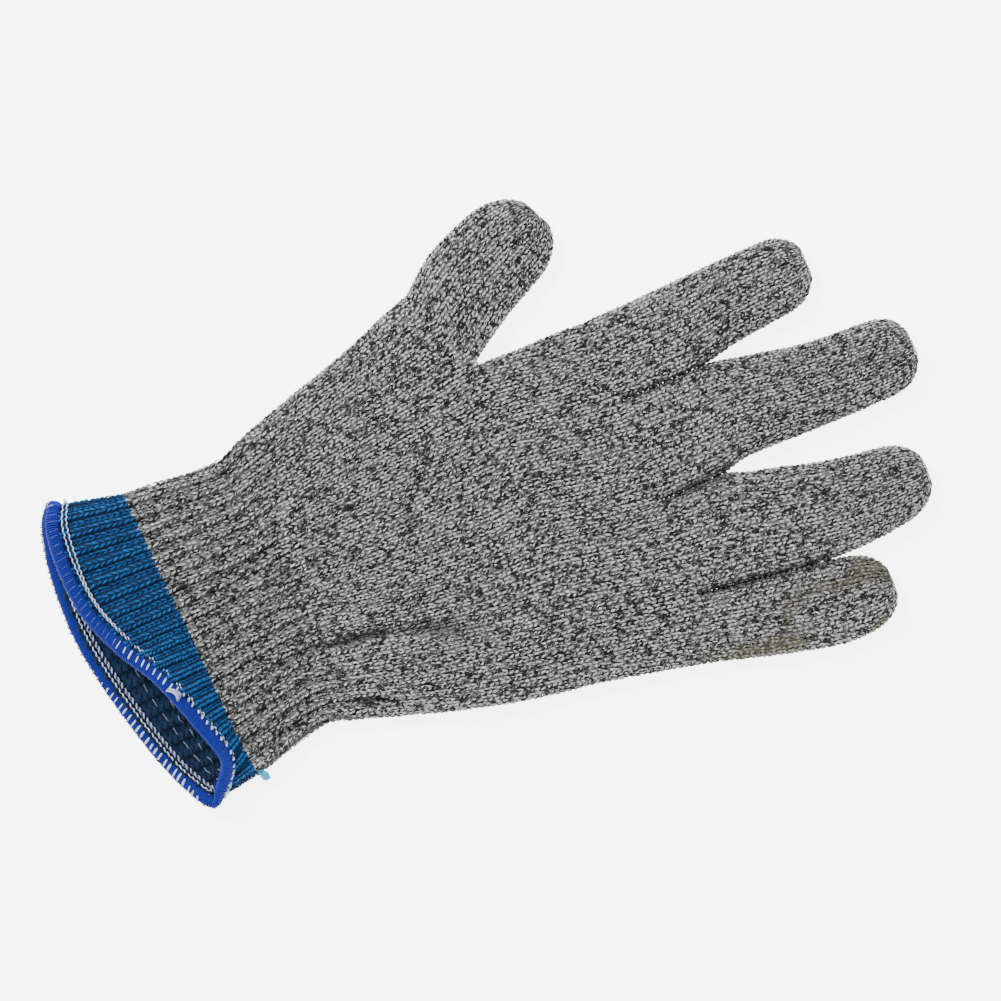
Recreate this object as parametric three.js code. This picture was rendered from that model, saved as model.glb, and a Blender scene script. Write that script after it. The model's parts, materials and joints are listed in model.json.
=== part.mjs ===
// Cut resistant knitted glove, size 9, lying flat on a table with its palm side up.
//
// Millimetres. +X runs from the cuff to the fingertips, +Y to the thumb side, +Z up.
// The glove is knitted in one go: finger stalls, palm over four fingers, palm over five,
// ribbed wrist, blue band. Each stall is divided where a knuckle bends it, and a soft
// sleeve fills each bend. All walls are open shells that join into one hand space.
//
// While the pieces are laid out, x = 0 is the line where the wrist bends. The finished
// group is then moved so that its origin is the bottom centre of the whole glove.

import * as THREE from 'three';
import { mergeVertices } from 'three/addons/utils/BufferGeometryUtils.js';

// ---- fabric and clearances ---------------------------------------------------------
const fabric = 1.8;             // thickness of the knitted wall
const seam = 0.3;               // clearance where one piece follows another
const crotchGap = 0.5;          // clearance between two stalls that lie side by side
const bendClearance = 0.5;      // spare room at each side of a bend, beyond what it needs
const sectionPower = 2.5;       // 2 gives an oval section, more gives a squarer one
const flatDepth = 0.6;          // how much of a section's belly is pressed flat

// ---- bends, in degrees towards the palm side ---------------------------------------
const rootBend = 75;
const middleBend = 80;
const endBend = 60;
const wristBend = 60;

// ---- lengths and heights -------------------------------------------------------------
const palmLength = 103;         // wrist bend line to the finger roots
const crotchAt = 70;            // wrist bend line to the thumb crotch
const wristLength = 32.5;       // wrist bend line to the blue band
const borderSlant = -0.06;      // lean of the line between grey rib and blue band
const fingerHeight = 9.6;       // height of a flat finger stall
const wristHeight = 11;
const palmHeight = 12.5;        // at the middle of the palm
const rootHeight = 10.4;        // palm height at the finger roots
const borderHeight = 11.5;      // where the blue band starts

// ---- palm and wrist edges --------------------------------------------------------------
const rootEdge = 40.5;          // thumb side of the index root
const crotchEdge = 41;          // thumb crotch
const wristThumbEdge = 46.4;
const wristLittleEdge = -39.3;
const waistThumbEdge = 43.2;      // the narrowest place, between wrist and band
const waistLittleEdge = -37.7;
const waistAt = -8;
const borderThumbEdge = 44.4;
const borderLittleEdge = -43.4;
const heelAt = 28;              // stations across the palm, from the wrist bend line
const heelThumbEdge = 54.6;
const heelLittleEdge = -47.5;
const ballAt = 53;
const ballThumbEdge = 61.5;
const ballLittleEdge = -53.2;
const crotchLittleEdge = -55.7;

// ---- finger stalls ---------------------------------------------------------------------
// bones are the lengths from the root to each knuckle and on to the tip. width and drift
// are given at the root, at a third, at two thirds and at the tip; drift is how far the
// middle of the stall lies towards the thumb from the middle of its root.
const stalls = [
  { name: 'index', bones: [27, 18.5, 18], tipRound: 11.5,
    width: [24.3, 24.9, 23.0, 21.1], drift: [0, 0.7, 2.75, 4.2] },
  { name: 'middle', bones: [35, 24, 23.5], tipRound: 12,
    width: [29.6, 28.3, 23.9, 22.0], drift: [0, 1.25, -0.95, -1.0] },
  { name: 'ring', bones: [31, 21, 21], tipRound: 12,
    width: [27.6, 29.6, 26.2, 20.0], drift: [0, -2.0, -6.0, -6.1] },
  { name: 'little', bones: [23, 15.5, 14], tipRound: 11.5,
    width: [20.4, 22.5, 23.7, 20.0], drift: [0, -3.65, -6.5, -6.75] },
];
const thumbSpread = 27;         // degrees between the thumb and the glove's length
const thumbRootWidth = 28;
const thumb = { name: 'thumb', bones: [24.5, 18.5], tipRound: 13,
  width: [thumbRootWidth, 29.4, 28, 24], drift: [0, 2.2, 1.8, 1.0] };

// ---- cuff mouth, hem and threads -----------------------------------------------------
// Middle of the fabric round the cuff mouth, x measured from the end of the grey rib: thumb
// side corner, lower layer, little side corner, upper layer. The upper layer is drawn back
// and lifted, so the mouth gapes.
const mouthLower = [
  [-20, 47.5, 7], [-24.8, 42, 3.2], [-27.7, 14, 2.8], [-22, -17, 2.8], [-15, -37, 3.4],
];
const mouthUpper = [
  [-9, -44.5, 7], [-1.8, -36, 11.2], [-4.8, -22, 13.4], [-10.5, -6, 13.8],
  [-17, 5, 12.6], [-22.6, 20, 11.4], [-22.4, 41, 11],
];
const hemRadius = 1.8;
const hemStand = 0.8;           // how far the hem's cord stands off the fabric's edge
const chainRadius = 0.4;        // white looper thread along both sides of the hem
const chainClearance = 0.45;    // between the looper thread and the fabric it runs along
const chainBack = 0.1;          // share of the band that lies between hem and chain
const elasticRadius = 0.45;
const wristElastics = [0.34, 0.585, 0.83];  // as shares of the wrist, from the bend line
const bandElastics = [0.28, 0.56];  // as shares of the band, from the rib to the mouth
const tieAt = -13;              // where the hem thread is tied off, across the glove
const threadEndLength = 5.5;
const threadEndRadius = 0.8;
const tailLength = 5;
const tailRadius = 0.7;

// ---- how finely the surfaces are divided -----------------------------------------------
const palmSides = 44;
const finer = 4;                // rows whose walls are offset are first drawn this much finer
const stallSides = 18;
const stallStep = 14;           // longest stretch between two rows of a stall
const palmStep = 18;
const hemSides = 7;
const threadSides = 5;
const tipRows = [0.55, 0.85];   // shares of a round tip's depth
const denseSteps = 160;

const rad = THREE.MathUtils.degToRad;

const finishes = {
  grey: new THREE.MeshStandardMaterial({ color: 0x8a8b8b, roughness: 0.9, metalness: 0 }),
  blue: new THREE.MeshStandardMaterial({ color: 0x1668a8, roughness: 0.85, metalness: 0 }),
  royal: new THREE.MeshStandardMaterial({ color: 0x2341bf, roughness: 0.6, metalness: 0 }),
  white: new THREE.MeshStandardMaterial({ color: 0xe9ecf2, roughness: 0.6, metalness: 0 }),
  elastic: new THREE.MeshStandardMaterial({ color: 0xb9c2cc, roughness: 0.6, metalness: 0 }),
};

const glove = new THREE.Group();

// ---- general helpers ---------------------------------------------------------------------

/** A smooth function that passes through [x, y] pairs, level with its ends outside them. */
function through(pairs) {
  const slope = pairs.map((pair, i) => {
    const before = pairs[Math.max(i - 1, 0)];
    const after = pairs[Math.min(i + 1, pairs.length - 1)];
    return (after[1] - before[1]) / (after[0] - before[0]);
  });
  return (x) => {
    const i = THREE.MathUtils.clamp(pairs.findIndex((pair) => pair[0] > x) - 1, 0, pairs.length - 2);
    const last = pairs.length - 1;
    if (x >= pairs[last][0]) return pairs[last][1];
    if (x <= pairs[0][0]) return pairs[0][1];
    const [x0, y0] = pairs[i];
    const [x1, y1] = pairs[i + 1];
    const step = x1 - x0;
    const t = (x - x0) / step;
    const far = t * t * (3 - 2 * t);
    return y0 * (1 - far) + y1 * far
      + step * (t * (1 - t) * (1 - t) * slope[i] - t * t * (1 - t) * slope[i + 1]);
  };
}

/** Points at equal steps along a run of points; the last point is left out. */
function resample(points, count) {
  const along = [0];
  for (let i = 1; i < points.length; i++) {
    along.push(along[i - 1] + points[i].distanceTo(points[i - 1]));
  }
  const total = along[along.length - 1];
  const result = [];
  for (let k = 0, i = 1; k < count; k++) {
    const target = (total * k) / count;
    while (along[i] < target) i++;
    const t = (target - along[i - 1]) / (along[i] - along[i - 1]);
    result.push(points[i - 1].clone().lerp(points[i], t));
  }
  return result;
}

/**
 * One row round a flattened tube: from the thumb side under the lower layer to the little
 * side, and back over the upper layer. shape has low and high (its edges), height, base
 * (its lowest z), inset (how far inside the outer surface the row lies), x and skew.
 */
function row(shape, sides) {
  const { low, high, height, base = 0, inset = 0, x, skew = () => 0 } = shape;
  const middle = (low + high) / 2;
  const halfWidth = (high - low) / 2 - inset;
  const halfHeight = (height - base + flatDepth) / 2 - inset;
  const centre = height - inset - halfHeight;
  const power = 2 / sectionPower;
  const point = (angle) => {
    const c = Math.cos(angle);
    const s = -Math.sin(angle);
    const y = middle + halfWidth * Math.sign(c) * Math.abs(c) ** power;
    const z = centre + halfHeight * Math.sign(s) * Math.abs(s) ** power;
    return new THREE.Vector3(0, y, Math.max(z, base + inset));
  };
  const half = (from) => Array.from({ length: denseSteps + 1 },
    (_, i) => point(from + (Math.PI * i) / denseSteps));
  const points = [...resample(half(0), sides / 2), ...resample(half(Math.PI), sides / 2)];
  points.forEach((p) => { p.x = x + skew(p.y); });
  return points;
}

/**
 * A closed body skinned over rows of points. A row of one point is a pole. With ring set,
 * the last row is joined to the first, so the rows may run out and back to make a shell.
 */
function skin(rows, ring) {
  const position = [];
  const start = rows.map((points) => {
    const first = position.length / 3;
    points.forEach((p) => position.push(p.x, p.y, p.z));
    return first;
  });
  const index = [];
  const pairs = ring ? rows.length : rows.length - 1;
  for (let r = 0; r < pairs; r++) {
    const next = (r + 1) % rows.length;
    const sides = Math.max(rows[r].length, rows[next].length);
    for (let i = 0; i < sides; i++) {
      const j = (i + 1) % sides;
      const [a, b] = rows[r].length === 1 ? [start[r], start[r]] : [start[r] + i, start[r] + j];
      const [c, d] = rows[next].length === 1
        ? [start[next], start[next]] : [start[next] + i, start[next] + j];
      if (a !== b) index.push(a, b, d);
      if (c !== d) index.push(a, d, c);
    }
  }
  const geometry = new THREE.BufferGeometry();
  geometry.setAttribute('position', new THREE.Float32BufferAttribute(position, 3));
  geometry.setIndex(index);
  return facingOut(geometry);
}

/** The same geometry with its faces pointing out of the body. */
function facingOut(geometry) {
  const p = geometry.attributes.position;
  const index = geometry.index.array;
  const [a, b, c] = [new THREE.Vector3(), new THREE.Vector3(), new THREE.Vector3()];
  let volume = 0;
  for (let i = 0; i < index.length; i += 3) {
    a.fromBufferAttribute(p, index[i]);
    b.fromBufferAttribute(p, index[i + 1]);
    c.fromBufferAttribute(p, index[i + 2]);
    volume += a.dot(b.cross(c));
  }
  if (volume < 0) {
    for (let i = 0; i < index.length; i += 3) {
      [index[i], index[i + 1]] = [index[i + 1], index[i]];
    }
  }
  geometry.computeVertexNormals();
  return geometry;
}

/** Adds one named piece to a group. */
function piece(name, geometry, finish, group = glove) {
  const mesh = new THREE.Mesh(geometry, finish);
  mesh.name = name;
  group.add(mesh);
  return mesh;
}

/** An open shell between stations of a tube whose rows come from rowAt(station, inset). */
function shell(rowAt, stations) {
  const out = stations.map((d) => rowAt(d, 0));
  const back = [...stations].reverse().map((d) => rowAt(d, fabric));
  return skin([...out, ...back], true);
}

/** Length of fabric that a bend takes on a tube of this height. */
function bendSpan(height, degrees) {
  return height * Math.tan(rad(degrees) / 2) + 2 * bendClearance;
}

/** Stations from one end to the other, no further apart than step. */
function stations(from, to, step) {
  const count = Math.max(1, Math.ceil(Math.abs(to - from) / step));
  return Array.from({ length: count + 1 }, (_, i) => from + ((to - from) * i) / count);
}

/** A closed ring of thread round a row of points. */
function threadRing(points, radius, sides) {
  const rows = points.map((p, i) => {
    const before = points[(i + points.length - 1) % points.length];
    const after = points[(i + 1) % points.length];
    const along = after.clone().sub(before).normalize();
    const across = new THREE.Vector3(1, 0, 0).addScaledVector(along, -along.x).normalize();
    const up = along.clone().cross(across);
    return Array.from({ length: sides }, (_, k) => {
      const angle = (2 * Math.PI * k) / sides;
      return p.clone().addScaledVector(across, radius * Math.cos(angle))
        .addScaledVector(up, radius * Math.sin(angle));
    });
  });
  return skin(rows, true);
}

/** A short tail of thread along a curve through the given points. */
function threadTail(points, radius) {
  const section = new THREE.Shape();
  section.absarc(0, 0, radius, 0, 2 * Math.PI);
  const path = new THREE.CatmullRomCurve3(points);
  const geometry = new THREE.ExtrudeGeometry(section,
    { steps: 6, curveSegments: 4, bevelEnabled: false, extrudePath: path });
  geometry.deleteAttribute('normal');
  geometry.deleteAttribute('uv');
  return facingOut(mergeVertices(geometry));
}

// ---- finger stalls and thumb -----------------------------------------------------------

/** Length of a stall from its root to the outside of its tip. */
function stallLength(stall) {
  return stall.bones.reduce((sum, bone) => sum + bone, 0);
}

/** Row of a stall at a distance from its root, rounded off towards the tip. */
function stallRow(stall, middle, d, inset, lift = 0) {
  const length = stallLength(stall);
  const share = [0, 1 / 3, 2 / 3, 1].map((s) => s * length);
  const width = through(share.map((s, i) => [s, stall.width[i]]))(d);
  const drift = through(share.map((s, i) => [s, stall.drift[i]]))(d);
  const depth = stall.tipRound - inset;
  const into = THREE.MathUtils.clamp((d - (length - stall.tipRound)) / depth, 0, 1);
  const round = (1 - into ** sectionPower) ** (1 / sectionPower);
  const half = (width / 2 - inset) * round + inset;
  const rise = (fingerHeight / 2 - inset) * (1 - round);
  return row({
    low: middle + drift - half, high: middle + drift + half,
    height: fingerHeight - rise, base: lift + rise, inset, x: d,
  }, stallSides);
}

/** Middle of a stall's closed tip, inside or outside. */
function stallPole(stall, middle, inset) {
  const y = middle + stall.drift[3];
  return [new THREE.Vector3(stallLength(stall) - inset, y, fingerHeight / 2)];
}

/** The three bodies and sleeves of one stall, from the palm to the tip. */
function buildStall(stall, middle, group) {
  const bends = [rootBend, middleBend, endBend];
  const parts = stall.bones.length === 3 ? ['proximal', 'middle', 'distal'] : ['proximal', 'distal'];
  const sleeves = ['root', 'knuckle', 'end_knuckle'];
  let start = seam;
  let knuckle = 0;
  parts.forEach((part, i) => {
    const span = bendSpan(fingerHeight, bends[i]);
    const hinge = i === 0 ? seam + span / 2 : knuckle;
    knuckle += stall.bones[i];
    const [sleeveStart, sleeveEnd] = [hinge - span / 2, hinge + span / 2];
    if (i > 0) {
      const rowAt = (d, inset) => stallRow(stall, middle, d, inset);
      piece(`${stall.name}_${parts[i - 1]}`, shell(rowAt, stations(start, sleeveStart - seam, stallStep)),
        finishes.grey, group);
    }
    const sleeveRow = (d, inset) => stallRow(stall, middle, d, inset, seam);
    piece(`${stall.name}_${sleeves[i]}_sleeve`, shell(sleeveRow, [sleeveStart, sleeveEnd]),
      finishes.grey, group);
    start = sleeveEnd + seam;
  });
  const length = stallLength(stall);
  const roundStart = Math.max(start, length - stall.tipRound);
  const body = roundStart > start ? stations(start, roundStart, stallStep) : [start];
  const tip = tipRows.map((share) => roundStart + share * (length - roundStart));
  const innerTip = tipRows.map((share) => roundStart + share * (length - fabric - roundStart));
  const rows = [
    stallPole(stall, middle, fabric),
    ...[...body, ...innerTip].reverse().map((d) => stallRow(stall, middle, d, fabric)),
    ...[...body, ...tip].map((d) => stallRow(stall, middle, d, 0)),
    stallPole(stall, middle, 0),
  ];
  piece(`${stall.name}_distal`, skin(rows, false), finishes.grey, group);
}

let edge = rootEdge;
const stallMiddles = stalls.map((stall) => {
  const middle = edge - stall.width[0] / 2;
  edge -= stall.width[0] + crotchGap;
  return middle;
});
const rootLittleEdge = edge + crotchGap;

stalls.forEach((stall, i) => {
  const group = new THREE.Group();
  group.position.set(palmLength, 0, 0);
  glove.add(group);
  buildStall(stall, stallMiddles[i], group);
});

const spread = rad(thumbSpread);
const thumbGroup = new THREE.Group();
thumbGroup.position.set(
  crotchAt - (thumbRootWidth / 2) * Math.sin(spread),
  crotchEdge + (thumbRootWidth / 2) * Math.cos(spread), 0);
thumbGroup.rotation.z = spread;
glove.add(thumbGroup);
buildStall({ ...thumb, width: thumb.width.map((w) => w - 2 * crotchGap) }, 0, thumbGroup);

// ---- palm and wrist ----------------------------------------------------------------------

const thumbCornerEdge = crotchEdge + thumbRootWidth * Math.cos(spread);
const littleEdge = through([
  [-wristLength, borderLittleEdge], [waistAt, waistLittleEdge], [0, wristLittleEdge],
  [heelAt, heelLittleEdge], [ballAt, ballLittleEdge], [crotchAt, crotchLittleEdge],
  [palmLength, rootLittleEdge]]);
const thumbEdge = through([
  [-wristLength, borderThumbEdge], [waistAt, waistThumbEdge], [0, wristThumbEdge],
  [heelAt, heelThumbEdge], [ballAt, ballThumbEdge], [crotchAt, thumbCornerEdge]]);
const fourFingerEdge = through([[crotchAt, crotchEdge - crotchGap], [palmLength, rootEdge]]);
const heightAt = through([
  [-wristLength, borderHeight], [0, wristHeight], [crotchAt / 2, palmHeight],
  [palmLength, rootHeight]]);

/** Row of the palm over five fingers, whose end turns to face the thumb. */
function fivePalmRow(x, inset) {
  const turn = Math.tan(spread) * Math.max(0, x / crotchAt) ** 1.5;
  const skew = (y) => -turn * Math.max(0, y - crotchEdge);
  return row({ low: littleEdge(x), high: thumbEdge(x), height: heightAt(x), inset, x, skew }, palmSides);
}

/** Row of the palm over four fingers. */
function fourPalmRow(x, inset) {
  return row({ low: littleEdge(x), high: fourFingerEdge(x), height: heightAt(x), inset, x }, palmSides);
}

/** Row of the ribbed wrist, which leans with the band towards its lower end. */
function wristRow(x, inset, lift = 0, sides = palmSides) {
  const lean = borderSlant * THREE.MathUtils.clamp(-x / wristLength, 0, 1);
  return row({ low: littleEdge(x), high: thumbEdge(x), height: heightAt(x), base: lift, inset, x,
    skew: (y) => lean * y }, sides);
}

const wristHalf = bendSpan(wristHeight, wristBend) / 2;
piece('palm_five_finger', shell(fivePalmRow, [wristHalf + seam, heelAt, ballAt, crotchAt]),
  finishes.grey);
piece('palm_four_finger', shell(fourPalmRow, stations(crotchAt + seam, palmLength, palmStep)),
  finishes.grey);
piece('wrist_sleeve', shell((x, inset) => wristRow(x, inset, seam), [-wristHalf, wristHalf]),
  finishes.grey);
piece('wrist_rib', shell(wristRow, [-wristHalf - seam, waistAt, -wristLength + seam]),
  finishes.grey);

// ---- blue band, hem and threads ------------------------------------------------------

/** Middle line of the fabric round the mouth, as equal steps along each layer. */
function mouthRow(sides) {
  const corners = [...mouthLower, ...mouthUpper]
    .map(([x, y, z]) => new THREE.Vector3(x - wristLength, y, z));
  const curve = new THREE.CatmullRomCurve3(corners, true);
  const turn = mouthLower.length / corners.length;
  const layer = (from, to) => Array.from({ length: denseSteps + 1 },
    (_, i) => curve.getPoint(from + ((to - from) * i) / denseSteps));
  return [...resample(layer(0, turn), sides / 2), ...resample(layer(turn, 1), sides / 2)];
}

/** Direction along a row at each of its points. */
function alongRow(points) {
  return points.map((p, i) => points[(i + 1) % points.length].clone()
    .sub(points.at(i - 1)).normalize());
}

/**
 * Row of the band: share 0 is at the grey rib and 1 at the mouth. The wall is measured
 * square to the surface, except at the rib, where it stays in the border's plane.
 */
function bandRow(share, inset) {
  const fine = palmSides * finer;
  const border = wristRow(-wristLength, 0, 0, fine);
  const mouth = mouthRow(fine);
  const mouthAlong = alongRow(mouth);
  const surface = border.map((p, i) => {
    const out = mouthAlong[i].clone().cross(mouth[i].clone().sub(p)).normalize();
    return p.clone().lerp(mouth[i].clone().addScaledVector(out, fabric / 2), share);
  });
  const along = alongRow(surface);
  const offset = surface.map((p, i) => {
    const planar = new THREE.Vector3(0, -along[i].z, along[i].y).normalize();
    const square = along[i].clone().cross(mouth[i].clone().sub(border[i])).normalize();
    const away = planar.lerp(square, Math.min(1, share / bandElastics[0])).normalize();
    return p.clone().addScaledVector(away, -inset);
  });
  return offset.filter((p, i) => i % finer === 0);
}

const bandShell = shell(bandRow, [0, ...bandElastics, 1 - chainBack, 1]);
piece('cuff_band', bandShell, finishes.blue);

const mouth = mouthRow(palmSides);
const mouthAlong = alongRow(mouth);
const beforeMouth = bandRow(1 - chainBack, fabric / 2);
const hemCentre = mouth.map((p, i) => {
  const along = mouthAlong[i];
  const away = p.clone().sub(beforeMouth[i]);
  away.addScaledVector(along, -away.dot(along)).normalize();
  return p.clone().addScaledVector(away, hemRadius + hemStand);
});
piece('hem_overlock', threadRing(hemCentre, hemRadius, hemSides), finishes.royal);
piece('hem_chain_outside', threadRing(bandRow(1 - chainBack, -chainRadius - chainClearance),
  chainRadius, threadSides), finishes.white);
piece('hem_chain_inside', threadRing(bandRow(1 - chainBack, fabric + chainRadius + chainClearance),
  chainRadius, threadSides), finishes.white);

wristElastics.forEach((share, i) => {
  const points = wristRow(-share * wristLength, fabric + seam + elasticRadius);
  piece(`elastic_yarn_${i + 1}`, threadRing(points, elasticRadius, threadSides), finishes.elastic);
});
bandElastics.forEach((share, i) => {
  const points = bandRow(share, fabric + seam + elasticRadius);
  const name = `elastic_yarn_${wristElastics.length + i + 1}`;
  piece(name, threadRing(points, elasticRadius, threadSides), finishes.elastic);
});

// The hem thread is tied off on top of the upper layer, where its end lies over the hem.
const tie = mouth.map((p, i) => ({ y: p.y, z: p.z, i })).filter(({ z }) => z > borderHeight)
  .reduce((best, item) => (Math.abs(item.y - tieAt) < Math.abs(best.y - tieAt) ? item : best)).i;
const tieLift = hemRadius + seam + threadEndRadius;
const tieAlong = new THREE.Vector3().subVectors(mouth[tie], beforeMouth[tie]).normalize();
const tieEnds = [-0.5, 0, 0.5].map((share) => hemCentre[tie].clone()
  .addScaledVector(tieAlong, share * threadEndLength)
  .add(new THREE.Vector3(0, 0, tieLift)));
piece('hem_thread_end', threadTail(tieEnds, threadEndRadius), finishes.white);

// A cut end of the blue yarn hangs out at the little side of the band's first course.
const tailStart = borderLittleEdge - seam - tailRadius;
const tailX = -wristLength + borderSlant * borderLittleEdge;
const tail = [0, 0.5, 1].map((share) => new THREE.Vector3(
  tailX + share * 2, tailStart - share * tailLength, borderHeight / 2 - share * 3));
piece('blue_yarn_tail', threadTail(tail, tailRadius), finishes.blue);

// ---- origin ----------------------------------------------------------------------------------

const box = new THREE.Box3().setFromObject(glove, true);
const centre = box.getCenter(new THREE.Vector3());
glove.position.set(-centre.x, -centre.y, -box.min.z);

export default glove;
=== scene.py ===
"""A cut resistant knitted glove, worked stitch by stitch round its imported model.

Sizes are millimetres in the glove's own layout, where x = 0 is the line on which the wrist
bends, +X runs to the fingertips and +Y to the thumb side. Workshop.place turns them into
metres in the shared frame.
"""

from __future__ import annotations

import json
import logging
import math
from collections.abc import Callable, Sequence
from dataclasses import dataclass, field
from enum import Enum

import bpy
import numpy as np
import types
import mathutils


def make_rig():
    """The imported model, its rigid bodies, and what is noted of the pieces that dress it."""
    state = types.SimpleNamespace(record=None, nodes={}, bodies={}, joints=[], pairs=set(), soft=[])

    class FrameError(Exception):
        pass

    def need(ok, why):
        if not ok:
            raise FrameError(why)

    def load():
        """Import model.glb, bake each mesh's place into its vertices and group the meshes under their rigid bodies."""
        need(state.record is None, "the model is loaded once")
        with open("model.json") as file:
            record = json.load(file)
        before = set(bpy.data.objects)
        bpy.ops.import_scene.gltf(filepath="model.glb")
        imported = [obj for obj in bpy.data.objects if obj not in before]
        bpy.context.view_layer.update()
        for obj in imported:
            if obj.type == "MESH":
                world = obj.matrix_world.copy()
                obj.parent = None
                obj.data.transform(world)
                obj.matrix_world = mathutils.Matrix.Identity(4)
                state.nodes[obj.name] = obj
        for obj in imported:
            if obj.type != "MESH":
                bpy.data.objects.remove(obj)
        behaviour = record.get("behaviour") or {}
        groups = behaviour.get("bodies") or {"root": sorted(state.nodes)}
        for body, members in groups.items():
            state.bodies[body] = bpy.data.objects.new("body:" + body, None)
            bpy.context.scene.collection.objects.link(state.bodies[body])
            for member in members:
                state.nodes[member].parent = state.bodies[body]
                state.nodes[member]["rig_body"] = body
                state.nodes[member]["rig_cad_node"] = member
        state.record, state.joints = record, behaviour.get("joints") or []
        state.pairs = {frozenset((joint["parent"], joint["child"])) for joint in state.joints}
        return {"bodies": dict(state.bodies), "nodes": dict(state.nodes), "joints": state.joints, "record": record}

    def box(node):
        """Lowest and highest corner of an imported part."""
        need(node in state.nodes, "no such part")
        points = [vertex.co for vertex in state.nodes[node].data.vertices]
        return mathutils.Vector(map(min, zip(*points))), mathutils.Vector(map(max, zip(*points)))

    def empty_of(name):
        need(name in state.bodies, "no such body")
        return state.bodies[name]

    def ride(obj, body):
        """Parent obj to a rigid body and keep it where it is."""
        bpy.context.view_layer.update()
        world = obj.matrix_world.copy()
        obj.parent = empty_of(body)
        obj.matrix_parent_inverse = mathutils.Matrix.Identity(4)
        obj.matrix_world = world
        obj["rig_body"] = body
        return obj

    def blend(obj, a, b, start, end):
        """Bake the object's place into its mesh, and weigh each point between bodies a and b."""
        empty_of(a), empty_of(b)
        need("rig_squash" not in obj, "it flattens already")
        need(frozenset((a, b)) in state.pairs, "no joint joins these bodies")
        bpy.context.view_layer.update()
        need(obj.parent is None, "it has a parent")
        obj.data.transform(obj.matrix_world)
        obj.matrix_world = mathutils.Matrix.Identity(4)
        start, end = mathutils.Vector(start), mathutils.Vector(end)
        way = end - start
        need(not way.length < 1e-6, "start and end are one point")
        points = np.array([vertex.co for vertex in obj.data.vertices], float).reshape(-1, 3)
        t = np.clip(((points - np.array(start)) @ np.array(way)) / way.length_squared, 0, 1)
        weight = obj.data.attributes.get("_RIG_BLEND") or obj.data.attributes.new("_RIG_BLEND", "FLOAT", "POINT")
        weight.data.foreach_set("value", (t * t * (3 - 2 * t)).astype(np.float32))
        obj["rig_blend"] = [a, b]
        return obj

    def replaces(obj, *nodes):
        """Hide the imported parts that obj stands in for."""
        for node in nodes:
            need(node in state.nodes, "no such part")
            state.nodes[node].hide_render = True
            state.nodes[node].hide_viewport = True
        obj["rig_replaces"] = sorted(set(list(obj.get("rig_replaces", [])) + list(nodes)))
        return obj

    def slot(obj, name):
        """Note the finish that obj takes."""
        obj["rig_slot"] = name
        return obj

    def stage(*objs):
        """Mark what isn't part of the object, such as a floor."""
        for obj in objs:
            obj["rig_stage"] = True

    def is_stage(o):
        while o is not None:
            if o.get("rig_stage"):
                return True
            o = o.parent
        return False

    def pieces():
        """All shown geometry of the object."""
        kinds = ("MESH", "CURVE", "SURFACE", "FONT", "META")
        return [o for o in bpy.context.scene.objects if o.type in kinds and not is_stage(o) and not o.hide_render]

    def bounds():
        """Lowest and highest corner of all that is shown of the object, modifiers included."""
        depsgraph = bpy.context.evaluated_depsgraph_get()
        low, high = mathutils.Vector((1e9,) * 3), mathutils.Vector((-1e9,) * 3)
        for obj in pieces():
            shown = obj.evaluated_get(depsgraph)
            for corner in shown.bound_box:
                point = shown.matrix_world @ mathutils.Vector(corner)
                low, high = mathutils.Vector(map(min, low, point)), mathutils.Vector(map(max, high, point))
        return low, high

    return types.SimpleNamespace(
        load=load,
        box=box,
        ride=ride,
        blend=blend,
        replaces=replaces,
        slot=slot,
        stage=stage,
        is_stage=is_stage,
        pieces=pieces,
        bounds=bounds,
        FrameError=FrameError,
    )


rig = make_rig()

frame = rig.load()
cad_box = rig.bounds()

Array = np.ndarray
Pairs = Sequence[tuple[float, float]]
Node = bpy.types.Node
Socket = bpy.types.NodeSocket
log = logging.getLogger("glove")

MM = 0.001
DENSE = 160          # points drawn along half a section before they are spaced evenly
TABLE_CLEARANCE = 0.02
FLAT_DEPTH = 0.6     # how much of a section's belly the table presses flat
SOFT_EDGE = 2.5      # power of a rounded section; more gives a squarer one
CREASED_EDGE = 4.5   # power where two tubes lie against each other at a crotch


# ---- the layout -----------------------------------------------------------------------


@dataclass(frozen=True)
class Layout:
    """Edges, heights and lengths that every part of the glove shares."""

    fabric: float = 1.8
    seam: float = 0.3
    crotch_gap: float = 0.5
    palm_length: float = 103.0
    crotch_at: float = 70.0
    crotch_edge: float = 41.0
    root_edge: float = 40.5
    wrist_length: float = 32.5
    border_slant: float = -0.06
    finger_height: float = 9.6
    thumb_spread: float = 27.0
    thumb_width: float = 28.0
    little_edges: Pairs = (
        (-32.5, -43.4), (-8.0, -37.7), (0.0, -39.3), (28.0, -47.5), (53.0, -53.2),
        (70.0, -55.7), (103.0, -62.7),
    )
    thumb_edges: Pairs = (
        (-32.5, 44.4), (-8.0, 43.2), (0.0, 46.4), (28.0, 54.6), (53.0, 61.5), (70.0, 65.95),
    )
    heights: Pairs = ((-32.5, 11.5), (0.0, 11.0), (35.0, 12.5), (103.0, 10.4))


LAYOUT = Layout()


def smooth(share: Array | float) -> Array:
    """A soft step from 0 to 1, level at both ends."""
    share = np.clip(share, 0.0, 1.0)
    return share * share * (3 - 2 * share)


def unit(vectors: Array) -> Array:
    """The same directions with a length of one."""
    return vectors / np.maximum(np.linalg.norm(vectors, axis=-1, keepdims=True), 1e-9)


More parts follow.
